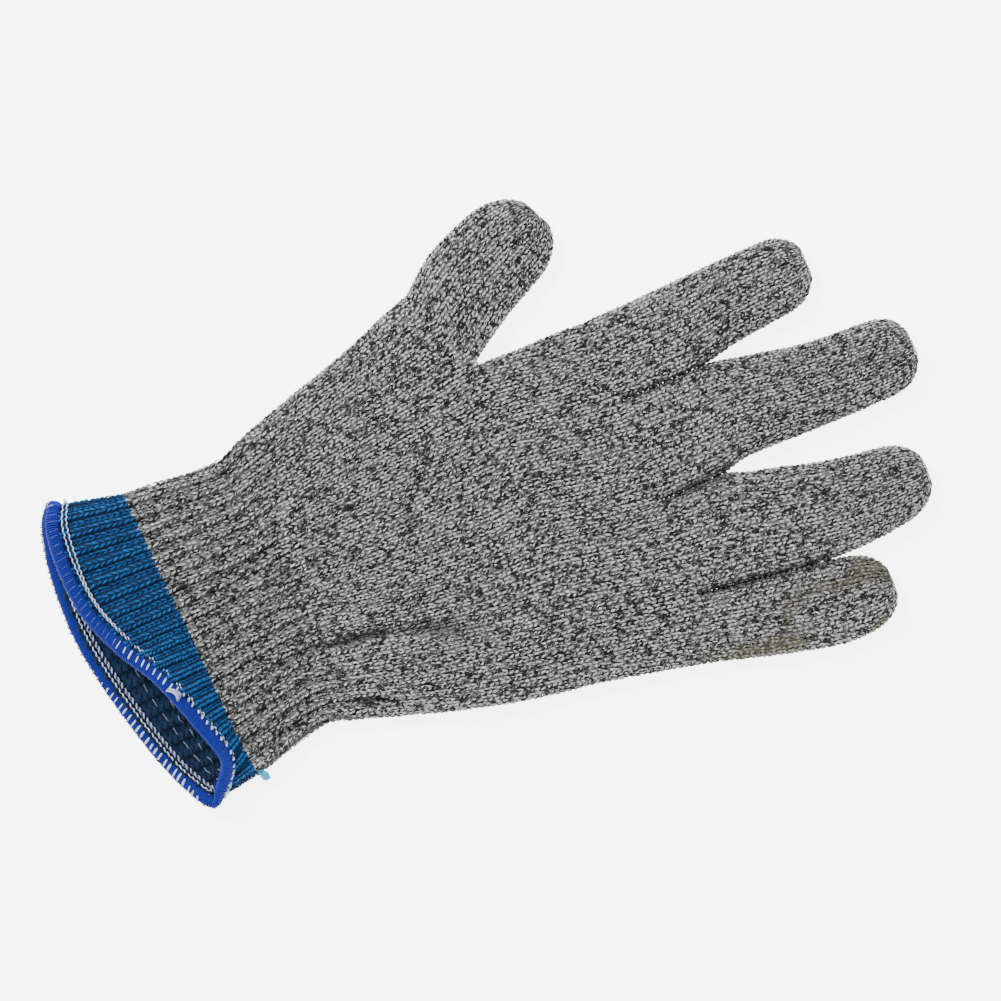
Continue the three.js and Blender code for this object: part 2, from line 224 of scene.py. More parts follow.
class Through:
    """A smooth function that passes through pairs and is level beyond its ends."""

    def __init__(self, pairs: Pairs) -> None:
        """Keeps the pairs and the slope at each.

        Args:
            pairs: The places and values to pass through, in rising order.
        """
        self.x, self.y = np.array(pairs, float).T
        ahead = np.minimum(np.arange(len(self.x)) + 1, len(self.x) - 1)
        behind = np.maximum(np.arange(len(self.x)) - 1, 0)
        self.slope = (self.y[ahead] - self.y[behind]) / (self.x[ahead] - self.x[behind])

    def __call__(self, x: float) -> float:
        """The value at x.

        Args:
            x: The place, held to the pairs' range.

        Returns:
            The value there.
        """
        x = min(max(x, self.x[0]), self.x[-1])
        i = int(min(max(np.searchsorted(self.x, x, "right") - 1, 0), len(self.x) - 2))
        step = self.x[i + 1] - self.x[i]
        t = (x - self.x[i]) / step
        far = t * t * (3 - 2 * t)
        bend = t * (1 - t) * (1 - t) * self.slope[i] - t * t * (1 - t) * self.slope[i + 1]
        return float(self.y[i] * (1 - far) + self.y[i + 1] * far + step * bend)


def spaced(points: Array, count: int) -> Array:
    """Points at even steps along a run of points.

    Args:
        points: The run, one point a row.
        count: How many to give; the last point of the run is left out.

    Returns:
        The evenly spaced points.
    """
    steps = np.linalg.norm(np.diff(points, axis=0), axis=1)
    along = np.concatenate(([0.0], np.cumsum(steps)))
    want = np.arange(count) * along[-1] / count
    return np.stack([np.interp(want, along, column) for column in points.T], 1)


def section(
    low: float, high: float, height: float, lift: float, count: int,
    thumb_power: float = SOFT_EDGE, little_power: float = SOFT_EDGE,
) -> Array:
    """One row round a flattened tube: thumb side, under, little side, back over the top.

    Args:
        low: Its edge on the little side.
        high: Its edge on the thumb side.
        height: Its highest z.
        lift: Its lowest z.
        count: How many points to give, an even number.
        thumb_power: How square its thumb side is.
        little_power: How square its little side is.

    Returns:
        The y and z of each point.
    """
    half_height = (height - lift + FLAT_DEPTH) / 2
    angle = np.linspace(0, 2 * np.pi, 2 * DENSE + 1)
    across, up = np.cos(angle), -np.sin(angle)
    power = 2 / np.where(across >= 0, thumb_power, little_power)
    y = (low + high) / 2 + (high - low) / 2 * np.sign(across) * np.abs(across) ** power
    z = height - half_height + half_height * np.sign(up) * np.abs(up) ** power
    points = np.stack((y, np.maximum(z, lift)), 1)
    return np.concatenate(
        [spaced(points[first : first + DENSE + 1], count // 2) for first in (0, DENSE)]
    )


def little_edge(x: float) -> float:
    """The palm's and the wrist's edge on the little side."""
    return Through(LAYOUT.little_edges)(x)


def thumb_edge(x: float) -> float:
    """The palm's and the wrist's edge on the thumb side."""
    return Through(LAYOUT.thumb_edges)(x)


def height_at(x: float) -> float:
    """Height of the palm and the wrist."""
    return Through(LAYOUT.heights)(x)


# ---- fabric surfaces ------------------------------------------------------------------


class Cloth:
    """A tube of fabric as a fine grid of points with normals, measured in courses and wales."""

    PER_COURSE = 2
    PER_WALE = 3
    POLE = 2.0           # a row smaller than this faces along the tube, where a tip closes
    RIB_WARP = 0.26      # how much wider a raised wale is than the mean of two
    SHALLOW = 0.7        # painted shade begins in a pucker this far in
    DEEP = 2.0           # and is at its darkest this much further in

    def __init__(
        self, row: Callable[[float, int], Array], stations: Array, wales: int,
        rib: Callable[[Array], Array] | None = None,
        relief: Callable[[Array, Array], Array] | None = None,
    ) -> None:
        """Samples the surface.

        Args:
            row: Gives the points round the tube at a station.
            stations: The stations, PER_COURSE to each course and one more.
            wales: Stitches round the tube.
            rib: Depth of the valleys between raised wales, from the points' x.
            relief: How far the fabric swells out or puckers in, from points and normals.
        """
        self.wales = wales
        self.courses = (len(stations) - 1) // self.PER_COURSE
        columns = wales * self.PER_WALE
        self.points = np.stack([row(float(station), columns) for station in stations])
        along = np.gradient(self.points, axis=0)
        around = np.roll(self.points, -1, 1) - np.roll(self.points, 1, 1)
        normals = unit(np.cross(along, around))
        outward = self.points - self.points.mean(1, keepdims=True)
        normals = normals * np.sign((normals * outward).sum(-1).mean())
        reach = np.linalg.norm(outward, axis=-1).max(1)
        heading = unit(np.gradient(self.points.mean(1), axis=0))
        share = np.clip(reach / self.POLE, 0, 1)[:, None, None]
        self.normals = unit(normals * share + heading[:, None] * (1 - share))
        self.rib_depth = np.zeros(self.points.shape[:2])
        self.painted_fold_shade = np.zeros(self.points.shape[:2])
        if relief:
            moved = relief(self.points, self.normals)
            self.points = self.points + self.normals * moved[..., None]
            # Painted shade in a pucker's fold, from 0 to 1.
            self.painted_fold_shade = np.clip((-moved - self.SHALLOW) / self.DEEP, 0, 1)
        if rib:
            self.rib_depth = rib(self.points[..., 0])
            wale = self.unwarped(np.arange(columns) / self.PER_WALE)
            valley = self.rib_depth * (1 - np.cos(np.pi * wale)) / 2
            self.points = self.points - self.normals * valley[..., None]

    def flipped(self) -> Cloth:
        """The same surface with its first course last.

        Returns:
            The cloth, its courses counted from the other end.
        """
        turned = object.__new__(Cloth)
        turned.wales, turned.courses = self.wales, self.courses
        turned.points, turned.normals = self.points[::-1], self.normals[::-1]
        turned.rib_depth, turned.painted_fold_shade = self.rib_depth[::-1], self.painted_fold_shade[::-1]
        return turned

    def warped(self, wale: Array) -> Array:
        """Where a wale lies once raised wales have spread over recessed ones."""
        return wale + self.RIB_WARP * np.sin(np.pi * wale) / np.pi

    def unwarped(self, place: Array) -> Array:
        """The wale that lies at a place, the other way round from warped.

        Args:
            place: Where it lies once the raised wales have spread.

        Returns:
            The wale.
        """
        wale = place.copy()
        for _ in range(6):
            wale = place - self.RIB_WARP * np.sin(np.pi * wale) / np.pi
        return wale

    def at(self, course: Array, wale: Array, grid: Array | None = None) -> Array:
        """The surface's points, or another grid's values, at courses and wales.

        Args:
            course: Courses from the tube's start.
            wale: Wales round from the thumb side.
            grid: The values to read; the points if left out.

        Returns:
            One row for each pair.
        """
        grid = self.points if grid is None else grid
        down = np.clip(course * self.PER_COURSE, 0, len(grid) - 1 - 1e-6)
        over = np.mod(wale, self.wales) * self.PER_WALE
        i, j = down.astype(int), over.astype(int)
        a, b = (down - i)[..., None], (over - j)[..., None]
        j, k = j % grid.shape[1], (j + 1) % grid.shape[1]
        near = grid[i, j] * (1 - b) + grid[i, k] * b
        far = grid[i + 1, j] * (1 - b) + grid[i + 1, k] * b
        return near * (1 - a) + far * a


def even_stations(start: float, end: float, course: float) -> Array:
    """Stations of a straight tube, PER_COURSE to each course."""
    courses = max(1, round(abs(end - start) / course))
    return np.linspace(start, end, courses * Cloth.PER_COURSE + 1)


class Swell:
    """Slow swells and puckers of fabric that lies empty on a table."""

    def __init__(self, depth: float, length: float, seed: int) -> None:
        """Picks the waves.

        Args:
            depth: How far the swells rise and fall.
            length: The distance over which they come and go.
            seed: Start of the random draws.
        """
        draw = np.random.default_rng(seed)
        turn = draw.uniform(0, 2 * np.pi, 6)
        pace = 2 * np.pi / (length * draw.uniform(0.6, 1.6, 6))
        self.waves = np.stack((np.cos(turn) * pace, np.sin(turn) * pace, draw.uniform(0, 6.3, 6)))
        self.depth = depth
        self.puckers: list[tuple[Array, Array, float, float]] = []

    def pucker(
        self, start: Sequence[float], end: Sequence[float], width: float, rise: float,
    ) -> None:
        """Adds a groove or a ridge along a line on the upper layer.

        Args:
            start: Its start, x and y.
            end: Its end, x and y.
            width: How wide it is.
            rise: How far it rises; below 0 it sinks.
        """
        self.puckers.append((np.array(start), np.array(end), width, rise))

    def __call__(self, points: Array, normals: Array) -> Array:
        """How far each point moves out along its normal.

        Args:
            points: The fabric's points.
            normals: Its normals.

        Returns:
            The distance for each point, none on the underside.
        """
        x, y = points[..., 0], points[..., 1]
        total = sum(np.sin(x * a + y * b + c) for a, b, c in self.waves.T) * self.depth / 2.5
        for start, end, width, rise in self.puckers:
            span = end - start
            place = points[..., :2] - start
            share = np.clip((place @ span) / (span @ span), 0, 1)
            gap = np.linalg.norm(place - share[..., None] * span, axis=-1)
            swelling = 0.4 + 0.6 * np.sin(np.pi * share)
            total = total + rise * np.exp(-((gap / width) ** 2)) * swelling
        return total * np.clip(normals[..., 2] * 1.6, 0, 1)


def lying_swell() -> Swell:
    """The swells of the palm and the wrist, with the folds where they meet.

    Returns:
        The swells.
    """
    swell = Swell(0.5, 32.0, 11)
    swell.pucker((-3, -17), (19, -19.3), 1.7, -3.0)
    swell.pucker((10, -18.5), (34, -24), 2.6, -1.6)
    swell.pucker((-6, -23), (22, -25), 3.2, 1.0)
    swell.pucker((-2, -11), (24, -13), 3.2, 1.0)
    swell.pucker((2, -34), (13, -38.5), 1.3, -2.6)
    swell.pucker((24, -19.5), (44, -30), 3.0, -1.2)
    return swell


# ---- yarns and pieces -----------------------------------------------------------------


class Ends(Enum):
    """How a swept yarn ends."""

    POINTED = "pointed"
    JOINED = "joined"


class Skein:
    """Collects yarns and skins in layout millimetres, and winds them into one piece."""

    MARGIN = 0.08      # of a yarn's cell in the piece's surface map

    def __init__(self) -> None:
        """Starts with nothing on the skein."""
        self.points: list[Array] = []
        self.corners: list[Array] = []
        self.sizes: list[Array] = []
        self.plies: list[Array] = []
        self.tints: list[Array] = []
        self.maps: list[Array] = []
        self.worn: list[Array] = []
        self.count = 0

    def _add(
        self, points: Array, corners: Array, sizes: Array, ply: Array, tint: Array,
        surface_map: Array, material: int,
    ) -> None:
        """Adds a run of faces.

        Args:
            points: Its points.
            corners: The point at each corner of each face, counted from the run's first.
            sizes: How many corners each face has.
            ply: Where each point lies along and round its yarn.
            tint: Random share, stain and painted shade at each point.
            surface_map: Each corner's place on the surface map.
            material: Which of the piece's materials it wears.
        """
        self.points.append(points)
        self.corners.append(corners + self.count)
        self.sizes.append(sizes)
        self.plies.append(ply)
        self.tints.append(tint)
        self.maps.append(surface_map)
        self.worn.append(np.full(len(sizes), material))
        self.count += len(points)

    def yarn(
        self, centres: Array, ups: Array, radii: Array, ends: Ends, sides: int = 5,
        flat: float = 1.0, tint: Array | None = None, twist: float = 0.9, seed: int = 0,
        material: int = 0,
    ) -> None:
        """Adds yarns of round or flattened section along centre lines.

        Args:
            centres: Points along each yarn, shaped yarns x points x 3.
            ups: The side of the yarn that faces out, the same shape.
            radii: Half the width at each point, shaped yarns x points.
            ends: Whether the ends are drawn to a point or joined up.
            sides: Sides of the section.
            flat: Thickness as a share of the width.
            tint: Random share, stain and painted shade of each yarn or of each of its points.
            twist: Turn of the plies in radians to each millimetre.
            seed: Start of the random draws.
            material: Which of the piece's materials it wears.
        """
        yarns, steps = centres.shape[:2]
        joined = ends is Ends.JOINED
        if joined:
            along = np.roll(centres, -1, 1) - np.roll(centres, 1, 1)
        else:
            along = np.gradient(centres, axis=1)
        along = unit(along)
        side = unit(np.cross(along, ups))
        up = np.cross(side, along)
        gaps = np.linalg.norm(np.diff(centres, axis=1), axis=-1)
        run = np.concatenate((np.zeros((yarns, 1)), np.cumsum(gaps, 1)), 1)
        draw = np.random.default_rng(seed)
        start = draw.uniform(0, 400, (yarns, 1))
        angle = 2 * np.pi * np.arange(sides) / sides
        rings = centres[:, :, None] + radii[:, :, None, None] * (
            np.cos(angle)[:, None] * side[:, :, None]
            + flat * np.sin(angle)[:, None] * up[:, :, None]
        )
        turn = angle - twist * run[..., None] + start[..., None]
        ply = np.stack(
            (np.broadcast_to((run + start)[..., None], turn.shape), np.cos(turn), np.sin(turn)), -1
        )
        tint = np.zeros((yarns, 1, 3)) if tint is None else tint
        tints = np.broadcast_to(tint[:, :, None], (yarns, steps, sides, 3))
        template, sizes, flat_map = self._lattice(steps, sides, joined)
        if joined:
            points, plies, tinted = (a.reshape(-1, 3) for a in (rings, ply, tints))
            each = steps * sides
        else:
            def tipped(values: Array, tips: Array) -> Array:
                """Rings with a single point in place of the first and the last."""
                body = values[:, 1:-1].reshape(yarns, -1, 3)
                return np.concatenate((tips[:, :1], body, tips[:, -1:]), 1).reshape(-1, 3)

            points = tipped(rings, centres)
            plies = tipped(ply, ply[:, :, 0])
            tinted = tipped(tints, tints[:, :, 0])
            each = 2 + (steps - 2) * sides
        corners = (template[None] + each * np.arange(yarns)[:, None]).ravel()
        cells = math.ceil(math.sqrt(yarns))
        cell = np.stack((np.arange(yarns) % cells, np.arange(yarns) // cells), 1)
        inside = self.MARGIN + (1 - 2 * self.MARGIN) * flat_map
        surface_map = ((inside[None] + cell[:, None]) / cells).reshape(-1, 2)
        self._add(points, corners, np.tile(sizes, yarns), plies, tinted, surface_map, material)

    @staticmethod
    def _lattice(steps: int, sides: int, joined: bool) -> tuple[Array, Array, Array]:
        """Faces of one yarn.

        Args:
            steps: Points along it.
            sides: Sides of its section.
            joined: Whether its ends meet.

        Returns:
            The corners of its faces in turn, how many each face has, and their map.
        """
        corners: list[int] = []
        sizes: list[int] = []
        places: list[tuple[float, float]] = []
        rings = steps if joined else steps - 2
        first = 0 if joined else 1
        last = first + rings * sides
        for j in range(sides):
            k = (j + 1) % sides
            for i in range(rings if joined else rings - 1):
                a, b = first + i * sides, first + (i + 1) % rings * sides
                corners += [a + j, b + j, b + k, a + k]
                sizes.append(4)
                places += [
                    (x / (steps - 1 + joined), y / sides)
                    for x, y in (
                        (i + first, j), (i + first + 1, j),
                        (i + first + 1, j + 1), (i + first, j + 1),
                    )
                ]
            if not joined:
                end = last - sides
                corners += [0, first + j, first + k, last, end + k, end + j]
                sizes += [3, 3]
                places += [
                    (x / (steps - 1), y / sides)
                    for x, y in (
                        (0, j + 0.5), (1, j), (1, j + 1),
                        (steps - 1, j + 0.5), (steps - 2, j + 1), (steps - 2, j),
                    )
                ]
        return np.array(corners), np.array(sizes), np.array(places)

    def skin(self, rows: Array, tint: Array, material: int = 0) -> None:
        """Adds a closed skin over rows of points that run out and back, joined both ways.

        Args:
            rows: The points, shaped rows x columns x 3.
            tint: Random share, stain and painted shade, for all or shaped as rows is.
            material: Which of the piece's materials it wears.
        """
        down, over = rows.shape[:2]
        i, j = np.meshgrid(np.arange(down), np.arange(over), indexing="ij")
        i, j = i.ravel(), j.ravel()
        a, b = (i + 1) % down, (j + 1) % over
        corners = np.stack((i * over + j, i * over + b, a * over + b, a * over + j), 1)
        square = np.array(((0, 0), (0, 1), (1, 1), (1, 0)))
        surface_map = (np.stack((i, j), 1)[:, None] + square) / (down, over)
        points = rows.reshape(-1, 3)
        self._add(
            points, corners.ravel(), np.full(len(i), 4), points * 0.5,
            np.broadcast_to(tint, rows.shape).reshape(-1, 3), surface_map.reshape(-1, 2), material,
        )

    def wind(self, name: str, materials: Sequence[bpy.types.Material]) -> bpy.types.Object:
        """Makes the piece, in metres in the shared frame.

        Args:
            name: The piece's name.
            materials: What its faces wear.

        Returns:
            The piece.
        """
        points = WORKSHOP.place(np.concatenate(self.points))
        corners, sizes = np.concatenate(self.corners), np.concatenate(self.sizes)
        mesh = bpy.data.meshes.new(name)
        mesh.vertices.add(len(points))
        mesh.vertices.foreach_set("co", points.astype(np.float32).ravel())
        mesh.loops.add(len(corners))
        mesh.loops.foreach_set("vertex_index", corners.astype(np.int32))
        mesh.polygons.add(len(sizes))
        starts = np.concatenate(([0], np.cumsum(sizes)[:-1])).astype(np.int32)
        mesh.polygons.foreach_set("loop_start", starts)
        mesh.polygons.foreach_set("material_index", np.concatenate(self.worn).astype(np.int32))
        mesh.polygons.foreach_set("use_smooth", np.ones(len(sizes), bool))
        for label, values in (("ply", self.plies), ("tint", self.tints)):
            layer = mesh.attributes.new(label, "FLOAT_VECTOR", "POINT")
            layer.data.foreach_set("vector", np.concatenate(values).astype(np.float32).ravel())
        layer = mesh.uv_layers.new(name="OFBake")
        layer.data.foreach_set("uv", np.concatenate(self.maps).astype(np.float32).ravel())
        mesh.update(calc_edges=True)
        mesh.validate()
        for material in materials:
            mesh.materials.append(material)
        piece = bpy.data.objects.new(name, mesh)
        bpy.context.scene.collection.objects.link(piece)
        log.info("%s: %d points", name, len(points))
        return piece


class Workshop:
    """Places the layout in the shared frame."""

    def __init__(self) -> None:
        """Finds where the layout's origin is, from the palm's corner at the index root."""
        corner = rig.box("palm_four_finger")[1]
        self.origin = np.array(
            (corner.x - LAYOUT.palm_length * MM, corner.y - LAYOUT.root_edge * MM, 0.0)
        )

    def place(self, points: Array) -> Array:
        """Turns layout millimetres into metres in the shared frame.

        Args:
            points: Points in the layout, one a row.

        Returns:
            The same points in the frame, none of them lower than the table.
        """
        placed = points * MM + self.origin
        placed[:, 2] = np.maximum(placed[:, 2], TABLE_CLEARANCE * MM)
        return placed

    def spot(self, x: float, y: float, z: float) -> tuple[float, float, float]:
        """One layout point as metres in the shared frame."""
        return tuple(float(v) for v in self.place(np.array([[x, y, z]]))[0])


WORKSHOP = Workshop()


# ---- shader maths ---------------------------------------------------------------------


class Value:
    """A number that changes over a surface, for sums written as Python writes them."""

    def __init__(self, shade: Shade, socket: Socket) -> None:
        """Wraps an output socket of a material's nodes."""
        self.shade = shade
        self.socket = socket

    def _math(self, operation: str, a: Value | float, b: Value | float) -> Value:
        """A Math node on two values."""
        made = self.shade.node("ShaderNodeMath", {"operation": operation}, {0: a, 1: b})
        return Value(self.shade, made.outputs[0])

    def __add__(self, other: Value | float) -> Value:
        """self + other."""
        return self._math("ADD", self, other)

    def __radd__(self, other: float) -> Value:
        """other + self."""
        return self._math("ADD", other, self)

    def __sub__(self, other: Value | float) -> Value:
        """self - other."""
        return self._math("SUBTRACT", self, other)

    def __rsub__(self, other: float) -> Value:
        """other - self."""
        return self._math("SUBTRACT", other, self)

    def __mul__(self, other: Value | float) -> Value:
        """self * other."""
        return self._math("MULTIPLY", self, other)

    def __rmul__(self, other: float) -> Value:
        """other * self."""
        return self._math("MULTIPLY", other, self)

    def between(self, low: float, high: float) -> Value:
        """A soft step.

        Args:
            low: The number below which it is 0.
            high: The number above which it is 1.

        Returns:
            The step.
        """
        made = self.shade.node(
            "ShaderNodeMapRange", {"interpolation_type": "SMOOTHSTEP"},
            {"Value": self, "From Min": low, "From Max": high},
        )
        return Value(self.shade, made.outputs["Result"])


class Shade:
    """The nodes of one material."""

    def __init__(self, name: str) -> None:
        """Starts a material with one Principled shader.

        Args:
            name: The material's name.
        """
        self.material = bpy.data.materials.new(name)
        self.material.use_nodes = True
        self.tree = self.material.node_tree
        self.shader = self.tree.nodes["Principled BSDF"]

    def node(
        self, kind: str, settings: dict[str, object] | None = None,
        inputs: dict[str | int, object] | None = None,
    ) -> Node:
        """Adds any node.

        Args:
            kind: The node's type.
            settings: Its own settings, set first.
            inputs: Its sockets' values or links, by name or place.

        Returns:
            The node.
        """
        made = self.tree.nodes.new(kind)
        for label, setting in (settings or {}).items():
            setattr(made, label, setting)
        for label, given in (inputs or {}).items():
            self.feed(made.inputs[label], given)
        return made

    def feed(self, socket: Socket, given: object) -> None:
        """Links a socket to what is given, or sets it to that number or colour.

        Args:
            socket: The input socket.
            given: A value, a socket, a number or a colour.
        """
        if isinstance(given, Value):
            given = given.socket
        if isinstance(given, Socket):
            self.tree.links.new(given, socket)
        else:
            socket.default_value = given

    def attribute(self, name: str) -> Socket:
        """A vector that the piece's points carry."""
        return self.node("ShaderNodeAttribute", {"attribute_name": name}).outputs["Vector"]

    def parts(self, vector: Socket) -> tuple[Value, Value, Value]:
        """The three numbers of a vector."""
        split = self.node("ShaderNodeSeparateXYZ", None, {0: vector})
        return tuple(Value(self, output) for output in split.outputs)

    def scaled(self, vector: Socket, by: Sequence[float]) -> Socket:
        """A vector with each of its numbers multiplied."""
        made = self.node("ShaderNodeVectorMath", {"operation": "MULTIPLY"}, {0: vector, 1: by})
        return made.outputs[0]

    def noise(self, vector: Socket, scale: float, detail: float = 2.0) -> Value:
        """Cloudy noise.

        Args:
            vector: Where on the surface.
            scale: How many clouds to a unit.
            detail: How many finer layers it has.

        Returns:
            The noise, from 0 to 1.
        """
        made = self.node(
            "ShaderNodeTexNoise", None, {"Vector": vector, "Scale": scale, "Detail": detail}
        )
        return Value(self, made.outputs[0])

    def mixed(self, factor: Value | float, a: object, b: object) -> Socket:
        """Blends two colours.

        Args:
            factor: How much of the second there is.
            a: The colour where the factor is 0.
            b: The colour where it is 1.

        Returns:
            The blend.
        """
        made = self.node(
            "ShaderNodeMix", {"data_type": "RGBA"}, {"Factor": factor, 6: a, 7: b}
        )
        return made.outputs[2]


Colour = tuple[float, float, float, float]


@dataclass(frozen=True)
class YarnFinish:
    """A spun yarn: its plies, flecks, fibres, and the painted shade that draws it towards its shadow colour."""

    name: str
    pale: Colour
    mid: Colour
    fleck: Colour
    fleck_start: float = 0.55       # noise above which a fleck begins
    fleck_soft: float = 0.05
    fleck_lot: float = 0.0          # how much a whole leg is flecked or plain
    fleck_along: float = 0.9        # flecks to a millimetre of yarn, roughly
    fleck_around: float = 1.1
    # The colour that painted shade draws the yarn towards.
    shadow: Colour = (0.02, 0.02, 0.022, 1.0)
    stain: Colour = (0.088, 0.078, 0.038, 1.0)
    roughness: float = 0.82
    sheen: float = 0.03
    bump: float = 0.4

    def material(self) -> bpy.types.Material:
        """Builds the finish.

        Returns:
            The material.
        """
        shade = Shade(self.name)
        ply = shade.attribute("ply")
        lot, stain, painted_shade = shade.parts(shade.attribute("tint"))
        fibres = shade.noise(shade.scaled(ply, (1.6, 3.4, 3.4)), 1.0, 3.0)
        flecks = shade.noise(
            shade.scaled(ply, (self.fleck_along, self.fleck_around, self.fleck_around)), 1.0, 1.5
        )
        spun = shade.mixed((fibres + lot * 0.5 - 0.25).between(0.25, 0.8), self.mid, self.pale)
        # Dark flecks: partly the yarn's dark ply, partly painted shade between its fibres.
        marl = (flecks + lot * self.fleck_lot).between(
            self.fleck_start, self.fleck_start + self.fleck_soft
        )
        flecked = shade.mixed(marl, spun, self.fleck)
        grubby = (stain * (0.4 + fibres * 1.1)).between(0.02, 1.0)
        soiled = shade.mixed(grubby * 0.7, flecked, self.stain)
        # Painted shade: the tint's third number draws the colour towards the shadow colour.
        shaded_colour = shade.mixed(painted_shade * 0.85, soiled, self.shadow)
        bump = shade.node(
            "ShaderNodeBump", None, {"Strength": self.bump, "Distance": 0.0002, "Height": fibres}
        )
        shade.feed(shade.shader.inputs["Base Color"], shaded_colour)
        shade.feed(shade.shader.inputs["Normal"], bump.outputs[0])
        shade.feed(shade.shader.inputs["Roughness"], (self.roughness - 0.08) + fibres * 0.16)
        shade.feed(shade.shader.inputs["Sheen Weight"], self.sheen)
        shade.feed(shade.shader.inputs["Sheen Roughness"], 0.5)
        shade.feed(shade.shader.inputs["Specular IOR Level"], 0.14)
        return shade.material


@dataclass(frozen=True)
class Finishes:
    """Every finish of the glove."""

    grey: YarnFinish = YarnFinish(
        "marled_grey_yarn", (0.58, 0.575, 0.565, 1), (0.30, 0.30, 0.295, 1),
        (0.010, 0.010, 0.012, 1), fleck_start=0.58, fleck_soft=0.05, fleck_lot=0.2,
        fleck_along=0.95, fleck_around=0.9, shadow=(0.008, 0.008, 0.010, 1),
    )
    blue: YarnFinish = YarnFinish(
        "steel_blue_yarn", (0.004, 0.09, 0.28, 1), (0.002, 0.038, 0.135, 1),
        (0.001, 0.014, 0.06, 1), fleck_start=0.58, fleck_soft=0.1,
        shadow=(0.001, 0.007, 0.025, 1),
    )
    # A darker copy of the steel blue yarn for the band's inside, painted with the shade that falls inside the mouth.
    shaded_inner_blue: YarnFinish = YarnFinish(
        "inner_blue_yarn", (0.002, 0.013, 0.034, 1), (0.001, 0.005, 0.014, 1),
        (0.001, 0.003, 0.008, 1), fleck_start=0.55, fleck_soft=0.1,
        shadow=(0.0012, 0.013, 0.045, 1),
    )
    royal: YarnFinish = YarnFinish(
        "royal_blue_thread", (0.008, 0.027, 0.32, 1), (0.004, 0.012, 0.18, 1),
        (0.005, 0.01, 0.14, 1), fleck_start=0.66, fleck_soft=0.1, roughness=0.75,
        shadow=(0.004, 0.008, 0.09, 1),
    )
    white: YarnFinish = YarnFinish(
        "white_thread", (0.66, 0.68, 0.76, 1), (0.4, 0.43, 0.56, 1), (0.22, 0.26, 0.44, 1),
        fleck_start=0.66, fleck_soft=0.1, roughness=0.6, shadow=(0.12, 0.14, 0.3, 1),
    )
    elastic: YarnFinish = YarnFinish(
        "elastic_yarn", (0.2, 0.24, 0.28, 1), (0.1, 0.13, 0.17, 1), (0.05, 0.07, 0.09, 1),
        fleck_start=0.6, fleck_soft=0.08, roughness=0.5,
    )
    tail: YarnFinish = YarnFinish(
        "cut_blue_yarn", (0.06, 0.42, 0.72, 1), (0.03, 0.26, 0.5, 1), (0.01, 0.12, 0.3, 1),
        fleck_start=0.62, fleck_soft=0.1, roughness=0.6,
    )


FINISHES = Finishes()


# ---- knitting -------------------------------------------------------------------------


